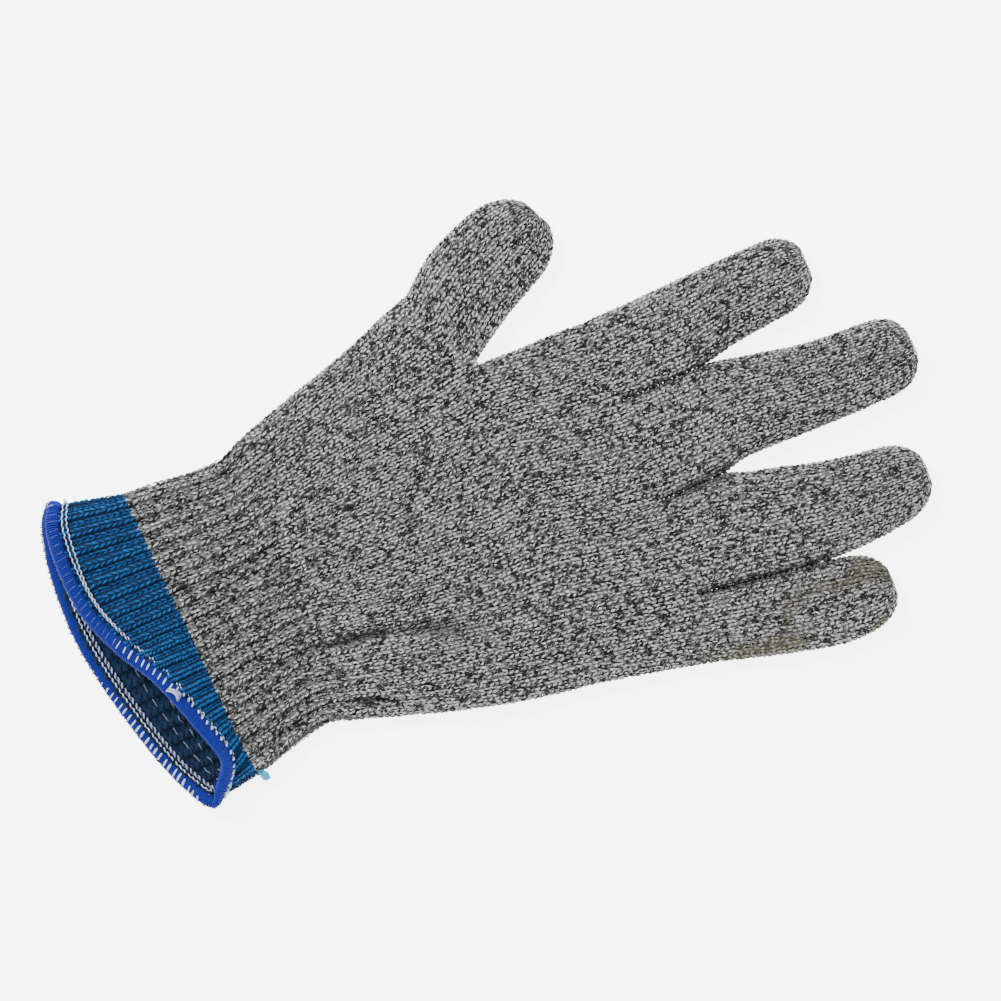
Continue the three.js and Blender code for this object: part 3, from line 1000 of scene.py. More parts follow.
@dataclass(frozen=True)
class Needles:
    """The shape of one plain stitch: two legs that meet towards the fingertips."""

    along: tuple[float, ...] = (0.0, 0.13, 0.37, 0.63, 0.87, 1.0)
    girth: tuple[float, ...] = (0.0, 0.74, 1.0, 1.0, 0.72, 0.0)
    reach: float = 1.22          # courses from the point of the V to its open end
    head: float = 0.62           # courses from the stitch's middle to the point of the V
    narrow: float = 0.065        # wales from the middle to a leg at the point
    wide: float = 0.37           # and at the open end
    thick: float = 0.178         # half a leg's thickness, in wales
    most: float = 0.46           # and never more than this, in millimetres
    least: float = 0.55          # a wale narrower than this has no stitch of its own
    sink: float = 0.5            # how far the ends of a leg go under, in millimetres
    slack: float = 0.085         # how unevenly the stitches are drawn

    def knit(
        self, skein: Skein, cloth: Cloth, courses: tuple[int, int], wales: tuple[int, int],
        seed: int, stain: Callable[[Array], Array] | None = None,
    ) -> None:
        """Knits a stretch of fabric onto a skein.

        Args:
            skein: What the legs are wound on.
            cloth: The surface they lie on.
            courses: First course and the one after the last.
            wales: First wale and the one after the last.
            seed: Start of the random draws.
            stain: How soiled the fabric is, from the points.
        """
        draw = np.random.default_rng(seed)
        course, wale = np.meshgrid(np.arange(*courses), np.arange(*wales), indexing="ij")
        course, wale = course.ravel() + 0.5, wale.ravel().astype(float)
        pitch = np.linalg.norm(
            cloth.at(course, wale + 0.5) - cloth.at(course, wale - 0.5), axis=-1
        )
        ahead = course + self.head
        tip = np.linalg.norm(cloth.at(ahead, wale + 0.5) - cloth.at(ahead, wale - 0.5), axis=-1)
        roomy = (pitch > self.least) & (tip > self.least * 0.6)
        course, wale, pitch = course[roomy], wale[roomy], pitch[roomy]
        count = len(course)
        q = np.array(self.along)
        sides = np.array((-1.0, 1.0))
        swing = draw.normal(0, self.slack, (count, 1, 1))
        skewed = draw.normal(0, self.slack, (count, 2, 1))
        legs_course = (
            course[:, None, None] + self.head - self.reach * q
            + swing + skewed * (0.6 - q)
        )
        spread = self.narrow + (self.wide - self.narrow) * q**0.85
        lean = draw.normal(0, self.slack * 0.5, (count, 2, 1))
        legs_wale = wale[:, None, None] + sides[:, None] * spread + lean * q + swing * 0.4
        ribbed = cloth.rib_depth.max() > 0
        across = cloth.warped(legs_wale) if ribbed else legs_wale
        shape = (count * 2, len(q))
        legs_course = np.broadcast_to(legs_course, (count, 2, len(q)))
        base = cloth.at(legs_course, across).reshape(*shape, 3)
        ups = unit(cloth.at(legs_course, across, cloth.normals)).reshape(*shape, 3)
        radius = np.minimum(self.thick * pitch, self.most)
        radius = np.repeat(radius, 2) * draw.uniform(0.86, 1.12, count * 2)
        height = -radius[:, None] - self.sink * np.abs(2 * q - 1) ** 2.4
        height = height + draw.normal(0, 0.07, (count * 2, 1))
        centres = base + ups * height[..., None]
        radii = radius[:, None] * np.array(self.girth)
        tint = np.zeros((*shape, 3))
        tint[..., 0] = draw.uniform(0, 1, count * 2)[:, None]
        if stain:
            tint[..., 1] = stain(centres)
        # The third tint is painted shade: at each end of a leg where it goes under, in the rib's valleys, and in
        # puckered folds and crease shade.
        valley = cloth.at(legs_course, across, cloth.rib_depth[..., None])[..., 0]
        valley = valley * (1 - np.cos(np.pi * legs_wale)) / 2
        painted_fold_shade = cloth.at(legs_course, across, cloth.painted_fold_shade[..., None])[..., 0]
        tint[..., 2] = np.clip(
            0.85 * q**4 + 0.65 * (1 - q) ** 5 + (0.25 * valley + 0.75 * painted_fold_shade).reshape(shape), 0, 1
        )
        skein.yarn(centres, ups, radii, Ends.POINTED, flat=0.86, tint=tint, seed=seed + 1)

    def ground(
        self, skein: Skein, cloth: Cloth, courses: tuple[int, int], depth: float, fabric: float,
        material: int = 0,
    ) -> None:
        """Adds a sheet under the stitches, painted almost wholly in shade, that shows between them.

        Args:
            skein: What it is wound on.
            cloth: The surface it lies under.
            courses: First course and last.
            depth: How far it lies under the surface.
            fabric: How far under the surface its inner face lies.
            material: Which of the piece's materials it wears.
        """
        step = np.arange(courses[0], courses[1] + 0.25, 0.5)
        place = np.arange(0, cloth.wales, 0.5)
        course, wale = np.meshgrid(step, place, indexing="ij")
        points = cloth.at(course, wale)
        normals = unit(cloth.at(course, wale, cloth.normals))
        out, back = points - normals * depth, points - normals * fabric
        # The sheet is painted mostly with the finish's shadow colour.
        skein.skin(np.concatenate((out, back[::-1])), np.array((0.3, 0.0, 0.92)), material)


PURL_DEPTH = 0.1      # how far the wavy yarns lie under the fabric's inner face
NEEDLES = Needles()
BAND_NEEDLES = Needles(wide=0.35, thick=0.155, sink=0.42, slack=0.07)


@dataclass(frozen=True)
class PurlSide:
    """The inside of the fabric, where each course shows as a wavy yarn."""

    swing: float = 0.34        # courses that the wave goes each way
    radius: float = 0.42
    per_wale: int = 6

    def knit(
        self, skein: Skein, cloth: Cloth, courses: tuple[int, int], depth: float, seed: int,
    ) -> None:
        """Lays the wavy yarns on the inner face.

        Args:
            skein: What they are wound on.
            cloth: The outer surface.
            courses: First course and the one after the last.
            depth: How far under the outer surface they lie.
            seed: Start of the random draws.
        """
        draw = np.random.default_rng(seed)
        wale = np.arange(0, cloth.wales, 1 / self.per_wale)
        course = np.arange(*courses)[:, None] + 0.5
        wave = self.swing * np.cos(2 * np.pi * wale) + 0.12 * np.sin(4 * np.pi * wale)
        knots = draw.normal(0, 0.07, (len(course), cloth.wales))
        uneven = np.repeat(knots, self.per_wale, 1)
        place, around = course + wave + uneven, np.broadcast_to(wale, uneven.shape)
        points = cloth.at(place, around)
        normals = unit(cloth.at(place, around, cloth.normals))
        bob = depth + 0.18 * np.cos(2 * np.pi * wale)
        centres = points - normals * bob[..., None]
        radii = np.full(centres.shape[:2], self.radius)
        tint = np.zeros((*centres.shape[:2], 3))
        tint[..., 0] = 0.5 + knots.repeat(self.per_wale, 1) * 3
        skein.yarn(centres, -normals, radii, Ends.JOINED, tint=tint, seed=seed + 1)


def soiled(points: Array) -> Array:
    """How soiled the little finger is: a patch at its tip and bands along its edges.

    Args:
        points: Points of the fabric in the layout.

    Returns:
        From 0, clean, to 1 at each point.
    """
    x, y = points[..., 0], points[..., 1]
    strokes = (
        ((98, -59.5), (108, -62.2), 2.2, 0.55), ((108, -62.2), (125, -64.5), 3.0, 0.95),
        ((122.5, -62), (123.5, -56.5), 2.6, 0.6), ((123.5, -56.5), (129.5, -53), 3.0, 0.75),
        ((129.5, -53), (139, -53.6), 2.6, 0.7), ((139, -53.6), (147, -55.6), 2.4, 0.85),
        ((147, -52.5), (154.5, -56), 4.0, 1.1), ((146.5, -69.6), (148, -69), 2.6, 0.9),
    )
    total = np.zeros(x.shape)
    for (x0, y0), (x1, y1), wide, share in strokes:
        run, rise = x1 - x0, y1 - y0
        along = np.clip(((x - x0) * run + (y - y0) * rise) / (run**2 + rise**2), 0, 1)
        gap = np.hypot(x - x0 - along * run, y - y0 - along * rise)
        total = np.maximum(total, share * np.exp(-((gap / wide) ** 2)))
    return np.clip(total, 0, 1)


# ---- sub-assemblies -------------------------------------------------------------------


def dress(piece: bpy.types.Object, body: str, slot: str, *nodes: str) -> bpy.types.Object:
    """Makes a piece ride on a body in place of its nodes.

    Args:
        piece: The piece.
        body: The body.
        slot: The record's slot that it takes its finish from.
        nodes: The nodes that it stands for.

    Returns:
        The piece.
    """
    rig.ride(piece, body)
    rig.replaces(piece, *nodes)
    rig.slot(piece, slot)
    return piece


class Materials:
    """The built finishes, made once."""

    def __init__(self) -> None:
        """Builds each finish."""
        self.grey = FINISHES.grey.material()
        self.blue = FINISHES.blue.material()
        self.shaded_inner_blue = FINISHES.shaded_inner_blue.material()
        self.royal = FINISHES.royal.material()
        self.white = FINISHES.white.material()
        self.elastic = FINISHES.elastic.material()
        self.tail = FINISHES.tail.material()


@dataclass
class Palm:
    """The palm over five fingers and the palm over four."""

    materials: Materials
    wales: int = 104
    four_wales: int = 92
    course: float = 1.62
    start: float = 10.0           # where the palm takes over from the wrist's bend
    soft_crotch: float = 20.0     # over which the crotch's edge becomes round
    ground_depth: float = 0.72

    def five_row(self, x: float, count: int) -> Array:
        """A row of the palm over five fingers, whose end turns to face the thumb.

        Args:
            x: Where the row lies.
            count: How many points to give.

        Returns:
            The points in the layout.
        """
        yz = section(little_edge(x), thumb_edge(x), height_at(x), 0.0, count)
        turn = math.tan(math.radians(LAYOUT.thumb_spread)) * max(0.0, x / LAYOUT.crotch_at) ** 1.5
        skewed = x - turn * np.maximum(0, yz[:, 0] - LAYOUT.crotch_edge)
        return np.column_stack((skewed, yz))

    def four_row(self, x: float, count: int) -> Array:
        """A row of the palm over four fingers.

        Args:
            x: Where the row lies.
            count: How many points to give.

        Returns:
            The points in the layout.
        """
        away = float(smooth((x - LAYOUT.crotch_at) / self.soft_crotch))
        power = CREASED_EDGE + (SOFT_EDGE - CREASED_EDGE) * away
        yz = section(
            little_edge(x), LAYOUT.root_edge, height_at(x), 0.0, count, thumb_power=power
        )
        return np.column_stack((np.full(count, x), yz))

    def build(self) -> list[bpy.types.Object]:
        """Knits both stretches of the palm.

        Returns:
            The pieces.
        """
        swell = lying_swell()
        five = Cloth(
            self.five_row, even_stations(self.start, LAYOUT.crotch_at, self.course), self.wales,
            relief=swell,
        )
        four = Cloth(
            self.four_row, even_stations(LAYOUT.crotch_at, LAYOUT.palm_length, self.course),
            self.four_wales, relief=swell,
        )
        pieces = []
        for cloth, node, seed in (
            (five, "palm_five_finger", 100), (four, "palm_four_finger", 200),
        ):
            half = cloth.wales // 2
            for side, wales in (("under", (0, half)), ("upper", (half, cloth.wales))):
                skein = Skein()
                NEEDLES.knit(skein, cloth, (0, cloth.courses), wales, seed + wales[0], soiled)
                pieces.append(skein.wind(f"{node}_{side}_knit", [self.materials.grey]))
            skein = Skein()
            NEEDLES.ground(skein, cloth, (0, cloth.courses), self.ground_depth, LAYOUT.fabric)
            pieces.append(skein.wind(f"{node}_ground", [self.materials.grey]))
            for piece in pieces[-3:]:
                dress(piece, "palm", "knit_grey", node)
        return pieces


@dataclass
class Stall:
    """One finger or the thumb, in lengths from its root."""

    name: str
    bones: tuple[float, ...]
    width: tuple[float, ...]
    drift: tuple[float, ...]
    tip_round: float
    wales: int
    middle: float = 0.0
    origin: tuple[float, float] = (0.0, 0.0)
    turn: float = 0.0
    root_height: float = 10.2
    root_powers: tuple[float, float] = (CREASED_EDGE, CREASED_EDGE)
    closed: tuple[float, float] = (17.0, 17.0)     # how far its sides lie against others
    overlap: float = 0.4          # how far two such sides press into each other
    crease: float = 1.7           # how far the painted shade of such a crease reaches
    firm: float = 2.5             # how soon a side that lies against another is held there
    flare: float = 17.0           # over which its height goes from the root's to the stall's
    share: float = 0.52           # of each bone's length at which the next piece starts
    root_bend: float = 9.0        # over which the root bends
    bend: float = 5.6             # to each side of a knuckle over which it bends
    ground_depth: float = 0.7
    beside: list[Stall | None] = field(default_factory=lambda: [None, None])
    course: float = 1.5
    stain: Callable[[Array], Array] | None = None

    @property
    def length(self) -> float:
        """Length from the root to the outside of the tip."""
        return sum(self.bones)

    def round_at(self, d: float) -> float:
        """How much of the width is left at a distance from the root."""
        into = min(max((d - (self.length - self.tip_round)) / self.tip_round, 0.0), 1.0)
        return (1 - into**SOFT_EDGE) ** (1 / SOFT_EDGE)

    def edges(self, d: float) -> tuple[float, float]:
        """Its edges at a distance from the root.

        Args:
            d: The distance.

        Returns:
            The y of its little side and of its thumb side.
        """
        shares = [share * self.length for share in (0, 1 / 3, 2 / 3, 1)]
        width = Through(list(zip(shares, self.width)))(d)
        drift = Through(list(zip(shares, self.drift)))(d)
        half = width / 2 * self.round_at(d)
        return self.middle + drift - half, self.middle + drift + half

    def shut_at(self, d: float) -> tuple[float, float]:
        """How firmly its sides lie against the next fingers.

        Args:
            d: Distance from the root.

        Returns:
            From 0 to 1 on the thumb side and on the little side.
        """
        return tuple(
            (1 - float(smooth((d - 0.35 * reach) / (0.65 * reach)))) if power > SOFT_EDGE else 0.0
            for power, reach in zip(self.root_powers, self.closed)
        )

    def crease_shade(self, stations: Array, points: Array) -> Array:
        """The painted shade where the fabric lies against the next finger.

        Args:
            stations: Distances of the rows from the root.
            points: The fabric's points in the layout, row by row.

        Returns:
            The strength of the painted shade, from 0 to 1, at each point.
        """
        depths = np.zeros(points.shape[:2])
        for i, d in enumerate(stations):
            low, high = self.edges(float(d))
            thumbward, littleward = self.shut_at(float(d))
            y = points[i, :, 1]
            for share, gap in ((thumbward, high - y), (littleward, y - low)):
                depths[i] = np.maximum(
                    depths[i], min(1.0, self.firm * share) * (1 - smooth(gap / self.crease))
                )
        return depths

    def row(self, d: float, count: int) -> Array:
        """A row of the stall.

        Args:
            d: Its distance from the root.
            count: How many points to give.

        Returns:
            The points in the layout.
        """
        low, high = self.edges(d)
        left = self.round_at(d)
        top = LAYOUT.finger_height
        top += (self.root_height - LAYOUT.finger_height) * (1 - float(smooth(d / self.flare)))
        rise = LAYOUT.finger_height / 2 * (1 - left)
        shut = self.shut_at(d)
        powers = [SOFT_EDGE + (CREASED_EDGE - SOFT_EDGE) * share for share in shut]
        thumbward, littleward = self.beside
        if thumbward:
            meeting = (thumbward.edges(d)[0] + high + self.overlap) / 2
            high += (meeting - high) * min(1.0, self.firm * shut[0])
        if littleward:
            meeting = (littleward.edges(d)[1] + low - self.overlap) / 2
            low += (meeting - low) * min(1.0, self.firm * shut[1])
        yz = section(low, high, top - rise, rise, count, *powers)
        c, s = math.cos(self.turn), math.sin(self.turn)
        return np.column_stack((
            self.origin[0] + d * c - yz[:, 0] * s, self.origin[1] + d * s + yz[:, 0] * c, yz[:, 1]
        ))

    def stations(self) -> Array:
        """Spaces the rows evenly along the top of the stall, over its tip.

        Returns:
            Their distances from the root.
        """
        fine = self.length - (self.length + 0.4) * np.linspace(1, 0.0004, 900) ** 1.6
        top = np.array([self.round_at(d) for d in fine]) * LAYOUT.finger_height / 2
        run = np.concatenate(([0.0], np.cumsum(np.hypot(np.diff(fine), np.diff(top)))))
        count = round(run[-1] / self.course) * Cloth.PER_COURSE
        return np.interp(np.linspace(0, run[-1], count + 1), run, fine)

    def spot(self, d: float) -> tuple[float, float, float]:
        """The middle of the stall.

        Args:
            d: Distance from its root.

        Returns:
            The point in the shared frame.
        """
        c, s = math.cos(self.turn), math.sin(self.turn)
        x = self.origin[0] + d * c - self.middle * s
        y = self.origin[1] + d * s + self.middle * c
        return WORKSHOP.spot(x, y, LAYOUT.finger_height / 2)

    def build(self, materials: Materials, seed: int) -> list[bpy.types.Object]:
        """Knits the stall in one piece for each bend.

        Args:
            materials: The built finishes.
            seed: Start of the random draws.

        Returns:
            The pieces, root first.
        """
        stations = self.stations()
        cloth = Cloth(self.row, stations, self.wales, relief=Swell(0.22, 16.0, seed))
        if any(self.beside):
            # Painted shade where the finger lies against the next one.
            cloth.painted_fold_shade = np.maximum(cloth.painted_fold_shade, self.crease_shade(stations, cloth.points))
        thumb = len(self.bones) == 2
        parts = ("proximal", "distal") if thumb else ("proximal", "middle", "distal")
        sleeves = ("root_sleeve", "knuckle_sleeve", "end_knuckle_sleeve")
        bodies = ("base", "tip") if thumb else ("base", "mid", "tip")
        knuckles = [0.0, *np.cumsum(self.bones)[:-1]]
        ends = [start + bone * self.share for start, bone in zip(knuckles, self.bones)]
        splits = [
            0, *[round(float(np.interp(end, stations, np.arange(len(stations)))) / Cloth.PER_COURSE)
                 for end in ends[:-1]], cloth.courses,
        ]
        pieces = []
        before = "palm"
        for i, part in enumerate(parts):
            skein = Skein()
            span = (splits[i], splits[i + 1])
            NEEDLES.knit(skein, cloth, span, (0, self.wales), seed + 10 * i, self.stain)
            NEEDLES.ground(skein, cloth, span, self.ground_depth, LAYOUT.fabric)
            piece = skein.wind(f"{self.name}_{part}_knit", [materials.grey])
            body = f"{self.name}_{bodies[i]}"
            knuckle = knuckles[i]
            reach = (knuckle - self.bend, knuckle + self.bend) if i else (0.0, self.root_bend)
            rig.blend(piece, before, body, start=self.spot(reach[0]), end=self.spot(reach[1]))
            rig.replaces(piece, f"{self.name}_{part}", f"{self.name}_{sleeves[i]}")
            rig.slot(piece, "knit_grey")
            before = body
            pieces.append(piece)
        return pieces


@dataclass
class Hand:
    """The four fingers and the thumb."""

    materials: Materials
    stalls: list[Stall] = field(default_factory=list)

    def plan(self) -> None:
        """Lays the stalls side by side from the index root."""
        specs = (
            ("index", (27, 18.5, 18), (24.3, 24.9, 23.0, 21.1), (0, 0.7, 2.75, 4.2), 11.5, 26,
             (0.0, 36.0), 9.3),
            ("middle", (35, 24, 23.5), (29.6, 28.3, 23.9, 22.0), (0, 1.25, -0.95, -1.0), 12, 30,
             (36.0, 28.0), 10.3),
            ("ring", (31, 21, 21), (27.6, 29.6, 26.2, 20.0), (0, -2.0, -6.0, -6.1), 12, 30,
             (28.0, 52.0), 10.2),
            ("little", (23, 15.5, 14), (20.4, 22.5, 23.7, 20.0), (0, -3.65, -6.5, -6.75), 11.5, 24,
             (52.0, 0.0), 9.0),
        )
        edge = LAYOUT.root_edge
        for name, bones, width, drift, tip_round, wales, closed, height in specs:
            powers = (
                SOFT_EDGE if name == "index" else CREASED_EDGE,
                SOFT_EDGE if name == "little" else CREASED_EDGE,
            )
            self.stalls.append(Stall(
                name, bones, width, drift, tip_round, wales, middle=edge - width[0] / 2,
                origin=(LAYOUT.palm_length, 0.0), root_powers=powers,
                root_height=height, closed=closed, stain=soiled if name == "little" else None,
            ))
            edge -= width[0] + LAYOUT.crotch_gap
        for thumbward, littleward in zip(self.stalls, self.stalls[1:]):
            thumbward.beside[1], littleward.beside[0] = littleward, thumbward
        spread = math.radians(LAYOUT.thumb_spread)
        narrower = 2 * LAYOUT.crotch_gap
        self.stalls.append(Stall(
            "thumb", (24.5, 18.5), tuple(w - narrower for w in (28, 29.4, 28, 24)),
            (0, 2.2, 1.8, 1.0), 13, 28, turn=spread, root_powers=(SOFT_EDGE, CREASED_EDGE),
            origin=(
                LAYOUT.crotch_at - LAYOUT.thumb_width / 2 * math.sin(spread),
                LAYOUT.crotch_edge + LAYOUT.thumb_width / 2 * math.cos(spread),
            ),
        ))

    def build(self) -> list[bpy.types.Object]:
        """Knits every stall.

        Returns:
            The pieces.
        """
        self.plan()
        pieces = []
        for i, stall in enumerate(self.stalls):
            pieces += stall.build(self.materials, 1000 + 100 * i)
        return pieces


@dataclass
class Wrist:
    """The ribbed grey wrist with its elastic yarns."""

    materials: Materials
    wales: int = 80
    course: float = 1.7
    end: float = 10.0
    rib: float = 1.5
    elastic_radius: float = 0.42
    elastics: tuple[float, ...] = (0.34, 0.585, 0.83)
    tuck: float = 1.0              # how far it meshes into the band
    bend: float = 7.2              # to each side of the bend line over which the wrist bends
    pivot: tuple[float, float] = (2.4, 5.5)      # the bend line's middle, y and z
    ground_depth: float = 0.75
    purl_share: float = 0.7        # of its courses that have their inside knitted

    def row(self, x: float, count: int) -> Array:
        """A row of the wrist, which leans with the band towards its lower end.

        Args:
            x: Where the row lies.
            count: How many points to give.

        Returns:
            The points in the layout.
        """
        lean = LAYOUT.border_slant * min(max(-x / LAYOUT.wrist_length, 0.0), 1.0)
        yz = section(little_edge(x), thumb_edge(x), height_at(x), 0.0, count)
        return np.column_stack((x + lean * yz[:, 0], yz))

    def rib_at(self, x: Array) -> Array:
        """Depth of the rib's valleys, which fade out towards the palm."""
        return self.rib * (1 - 0.75 * smooth((x + 8) / 18))

    def build(self) -> list[bpy.types.Object]:
        """Knits the wrist and lays its elastic.

        Returns:
            The pieces.
        """
        cloth = Cloth(
            self.row, even_stations(-LAYOUT.wrist_length - self.tuck, self.end, self.course),
            self.wales,
            rib=self.rib_at, relief=lying_swell(),
        )
        start, end = (WORKSHOP.spot(x, *self.pivot) for x in (self.bend, -self.bend))
        pieces = []
        half = self.wales // 2
        for side, wales in (("under", (0, half)), ("upper", (half, self.wales))):
            skein = Skein()
            NEEDLES.knit(skein, cloth, (0, cloth.courses), wales, 300 + half + wales[0])
            pieces.append(skein.wind(f"wrist_{side}_knit", [self.materials.grey]))
        skein = Skein()
        NEEDLES.ground(skein, cloth, (0, cloth.courses), self.ground_depth, LAYOUT.fabric)
        inside = round(cloth.courses * self.purl_share)
        PurlSide().knit(skein, cloth, (0, inside), LAYOUT.fabric - PURL_DEPTH, 330)
        pieces.append(skein.wind("wrist_inside_knit", [self.materials.grey]))
        for piece in pieces:
            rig.blend(piece, "palm", "cuff", start=start, end=end)
            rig.replaces(piece, "wrist_rib", "wrist_sleeve")
            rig.slot(piece, "knit_grey")
        for i, share in enumerate(self.elastics):
            course = cloth.courses * (1 - share) * LAYOUT.wrist_length
            course /= LAYOUT.wrist_length + self.end
            skein = Skein()
            lay_elastic(skein, cloth, course, self.elastic_radius, 340 + i)
            piece = skein.wind(f"elastic_floats_{i + 1}", [self.materials.elastic])
            pieces.append(dress(piece, "cuff", "elastic_yarn", f"elastic_yarn_{i + 1}"))
        return pieces


def lay_elastic(
    skein: Skein, cloth: Cloth, course: float, radius: float, seed: int, shift: int = 0,
) -> None:
    """Lays an elastic yarn round the inside, floating over raised wales and under the others.

    Args:
        skein: What it is wound on.
        cloth: The outer surface of the fabric.
        course: Where it lies.
        radius: Half its thickness.
        seed: Start of the random draws.
        shift: How many wales further round its floats start.
    """
    per_wale = 5
    draw = np.random.default_rng(seed)
    wale = np.arange(0, cloth.wales, 1 / per_wale)[None]
    sway = np.interp(wale[0], np.arange(cloth.wales), draw.normal(0, 0.16, cloth.wales))[None]
    place = course + sway
    points = cloth.at(place, wale)
    normals = unit(cloth.at(place, wale, cloth.normals))
    afloat = smooth(0.55 + 0.95 * np.cos(np.pi * (wale + shift) + 0.8 * sway))
    depth = LAYOUT.fabric - 0.75 + (LAYOUT.seam + radius + 0.95) * afloat
    centres = points - normals * depth[..., None]
    skein.yarn(centres, -normals, np.full(wale.shape, radius), Ends.JOINED, sides=6, seed=seed)


@dataclass
class Cuff:
    """The blue band with its overlocked hem and its threads."""

    materials: Materials
    wales: int = 80
    course: float = 1.45
    length: float = 18.0
    rib: float = 1.25
    ground_depth: float = 0.75
    float_rows: tuple[float, ...] = (-0.14, 0.0, 0.14)
    float_radius: float = 0.19
    elastics: tuple[float, ...] = (0.28, 0.56)
    hem_radius: float = 1.8
    hem_stand: float = 0.8
    hem_points: int = 720
    wrapping: tuple[float, float, float] = (1.55, 2.1, 1.25)   # its reach out, back and to a face
    wrapping_radius: float = 0.27
    turn_pitch: float = 0.56       # from one turn of the wrapping to the next
    thread_proud: float = 0.3      # how far the bars stand over the wrapping's core
    bar_pitch: float = 2.05
    bar_radius: float = 0.33
    link: float = 1.8              # length of a link of the chains
    under_hem: float = 1.075       # share of the band's length that the knit takes up
    chain_back: float = 0.1
    lower_mouth: tuple[tuple[float, float, float], ...] = (
        (-20, 47.5, 7), (-24.8, 42, 3.2), (-27.7, 14, 2.8), (-22, -17, 2.8), (-15, -37, 3.4),
    )
    upper_mouth: tuple[tuple[float, float, float], ...] = (
        (-9, -44.5, 7), (-1.8, -36, 11.2), (-4.8, -22, 13.4), (-10.5, -6, 13.8),
        (-17, 5, 12.6), (-22.6, 20, 11.4), (-22.4, 41, 11),
    )

    def mouth(self, count: int) -> Array:
        """The middle of the fabric round the mouth, evenly spaced along each layer.

        Args:
            count: How many points to give.

        Returns:
            The points in the layout.
        """
        corners = np.array(self.lower_mouth + self.upper_mouth) - (LAYOUT.wrist_length, 0, 0)
        whole = len(corners)
        knots = np.sqrt(np.linalg.norm(np.roll(corners, -1, 0) - corners, axis=1))

        def point(at: float) -> Array:
            """A point of a closed smooth curve through the corners.

            Args:
                at: Corners passed, with a fraction of the way to the next.

            Returns:
                The point.
            """
            i = int(at) % whole
            t = at - int(at)
            p0, p1, p2, p3 = (corners[(i + k) % whole] for k in (-1, 0, 1, 2))
            d0, d1, d2 = knots[i - 1], knots[i], knots[(i + 1) % whole]
            m1 = ((p1 - p0) / d0 - (p2 - p0) / (d0 + d1) + (p2 - p1) / d1) * d1
            m2 = ((p2 - p1) / d1 - (p3 - p1) / (d1 + d2) + (p3 - p2) / d2) * d1
            return (
                p1 + m1 * t + (3 * (p2 - p1) - 2 * m1 - m2) * t**2
                + (2 * (p1 - p2) + m1 + m2) * t**3
            )

        turn = len(self.lower_mouth)
        lower = np.array([point(v) for v in np.linspace(0, turn, DENSE + 1)])
        upper = np.array([point(v) for v in np.linspace(turn, whole, DENSE + 1)])
        return np.concatenate((spaced(lower, count // 2), spaced(upper, count // 2)))

    @staticmethod
    def run_of(points: Array) -> Array:
        """Direction along a closed row at each of its points."""
        return unit(np.roll(points, -1, 0) - np.roll(points, 1, 0))

    def row(self, share: float, count: int) -> Array:
        """A row of the band's outer face.

        Args:
            share: How far along the band it lies, 0 at the grey rib and 1 at the mouth.
            count: How many points to give.

        Returns:
            The points in the layout.
        """
        yz = section(*self.border_edges(), 0.0, count)
        border = np.column_stack((
            -LAYOUT.wrist_length + LAYOUT.border_slant * yz[:, 0], yz
        ))
        mouth = self.mouth(count)
        out = unit(np.cross(self.run_of(mouth), mouth - border))
        return border + share * (mouth + out * LAYOUT.fabric / 2 - border)

    @staticmethod
    def border_edges() -> tuple[float, float, float]:
        """Little edge, thumb edge and height where the band starts."""
        x = -LAYOUT.wrist_length
        return little_edge(x), thumb_edge(x), height_at(x)

    def offset(self, share: float, depth: float, count: int) -> Array:
        """A row of the band moved in from its outer face.

        Args:
            share: How far along the band it lies.
            depth: How far in it is moved.
            count: How many points to give.

        Returns:
            The points in the layout.
        """
        fine = self.row(share, count)
        border, mouth = self.row(0.0, count), self.mouth(count)
        away = unit(np.cross(self.run_of(fine), mouth - border))
        return fine - away * depth

    def rib_at(self, x: Array) -> Array:
        """Depth of the rib's valleys, the same all over the band."""
        return np.full(x.shape, self.rib)

    def dress(self, piece: bpy.types.Object, slot: str, *nodes: str) -> bpy.types.Object:
        """Makes a piece ride on the cuff in place of its nodes."""
        return dress(piece, "cuff", slot, *nodes)

    def build_band(self) -> list[bpy.types.Object]:
        """Knits the band, its inside and its elastic.

        Returns:
            The pieces.
        """
        courses = round(self.length * self.under_hem / self.course)
        stations = np.linspace(0.0, self.under_hem, courses * Cloth.PER_COURSE + 1)
        cloth = Cloth(
            self.row, stations, self.wales,
            rib=self.rib_at, relief=Swell(0.25, 20.0, 31),
        )
        skein = Skein()
        BAND_NEEDLES.knit(skein, cloth.flipped(), (0, courses), (0, self.wales), 400)
        NEEDLES.ground(skein, cloth, (0, courses), self.ground_depth, LAYOUT.fabric, 1)
        yarns = [self.materials.blue, self.materials.shaded_inner_blue]
        pieces = [self.dress(skein.wind("band_knit", yarns), "knit_blue", "cuff_band")]
        skein = Skein()
        PurlSide().knit(skein, cloth, (0, courses), LAYOUT.fabric - PURL_DEPTH, 430)
        pieces.append(self.dress(
            skein.wind("band_inside_knit", [self.materials.shaded_inner_blue]), "knit_blue", "cuff_band"
        ))
        for i, share in enumerate(self.elastics):
            skein = Skein()
            for row, extra in enumerate(self.float_rows):
                course, seed = (share + extra) * courses, 440 + 3 * i + row
                lay_elastic(skein, cloth, course, self.float_radius, seed, row)
            piece = skein.wind(f"elastic_floats_{i + 4}", [self.materials.elastic])
            pieces.append(self.dress(piece, "elastic_yarn", f"elastic_yarn_{i + 4}"))
        return pieces

    def hem_line(self, count: int) -> tuple[Array, Array, Array]:
        """The middle of the hem's cord.

        Args:
            count: How many points round it.

        Returns:
            Its points, the directions away from the fabric, and those out of the glove.
        """
        mouth = self.mouth(count)
        along = self.run_of(mouth)
        away = mouth - self.offset(1 - self.chain_back, LAYOUT.fabric / 2, count)
        away = unit(away - (away * along).sum(-1, keepdims=True) * along)
        out = unit(np.cross(along, away))
        centre = mouth + away * (self.hem_radius + self.hem_stand)
        inward = np.sign(((centre - centre.mean(0)) * out).sum(-1).mean())
        return centre, away, out * inward

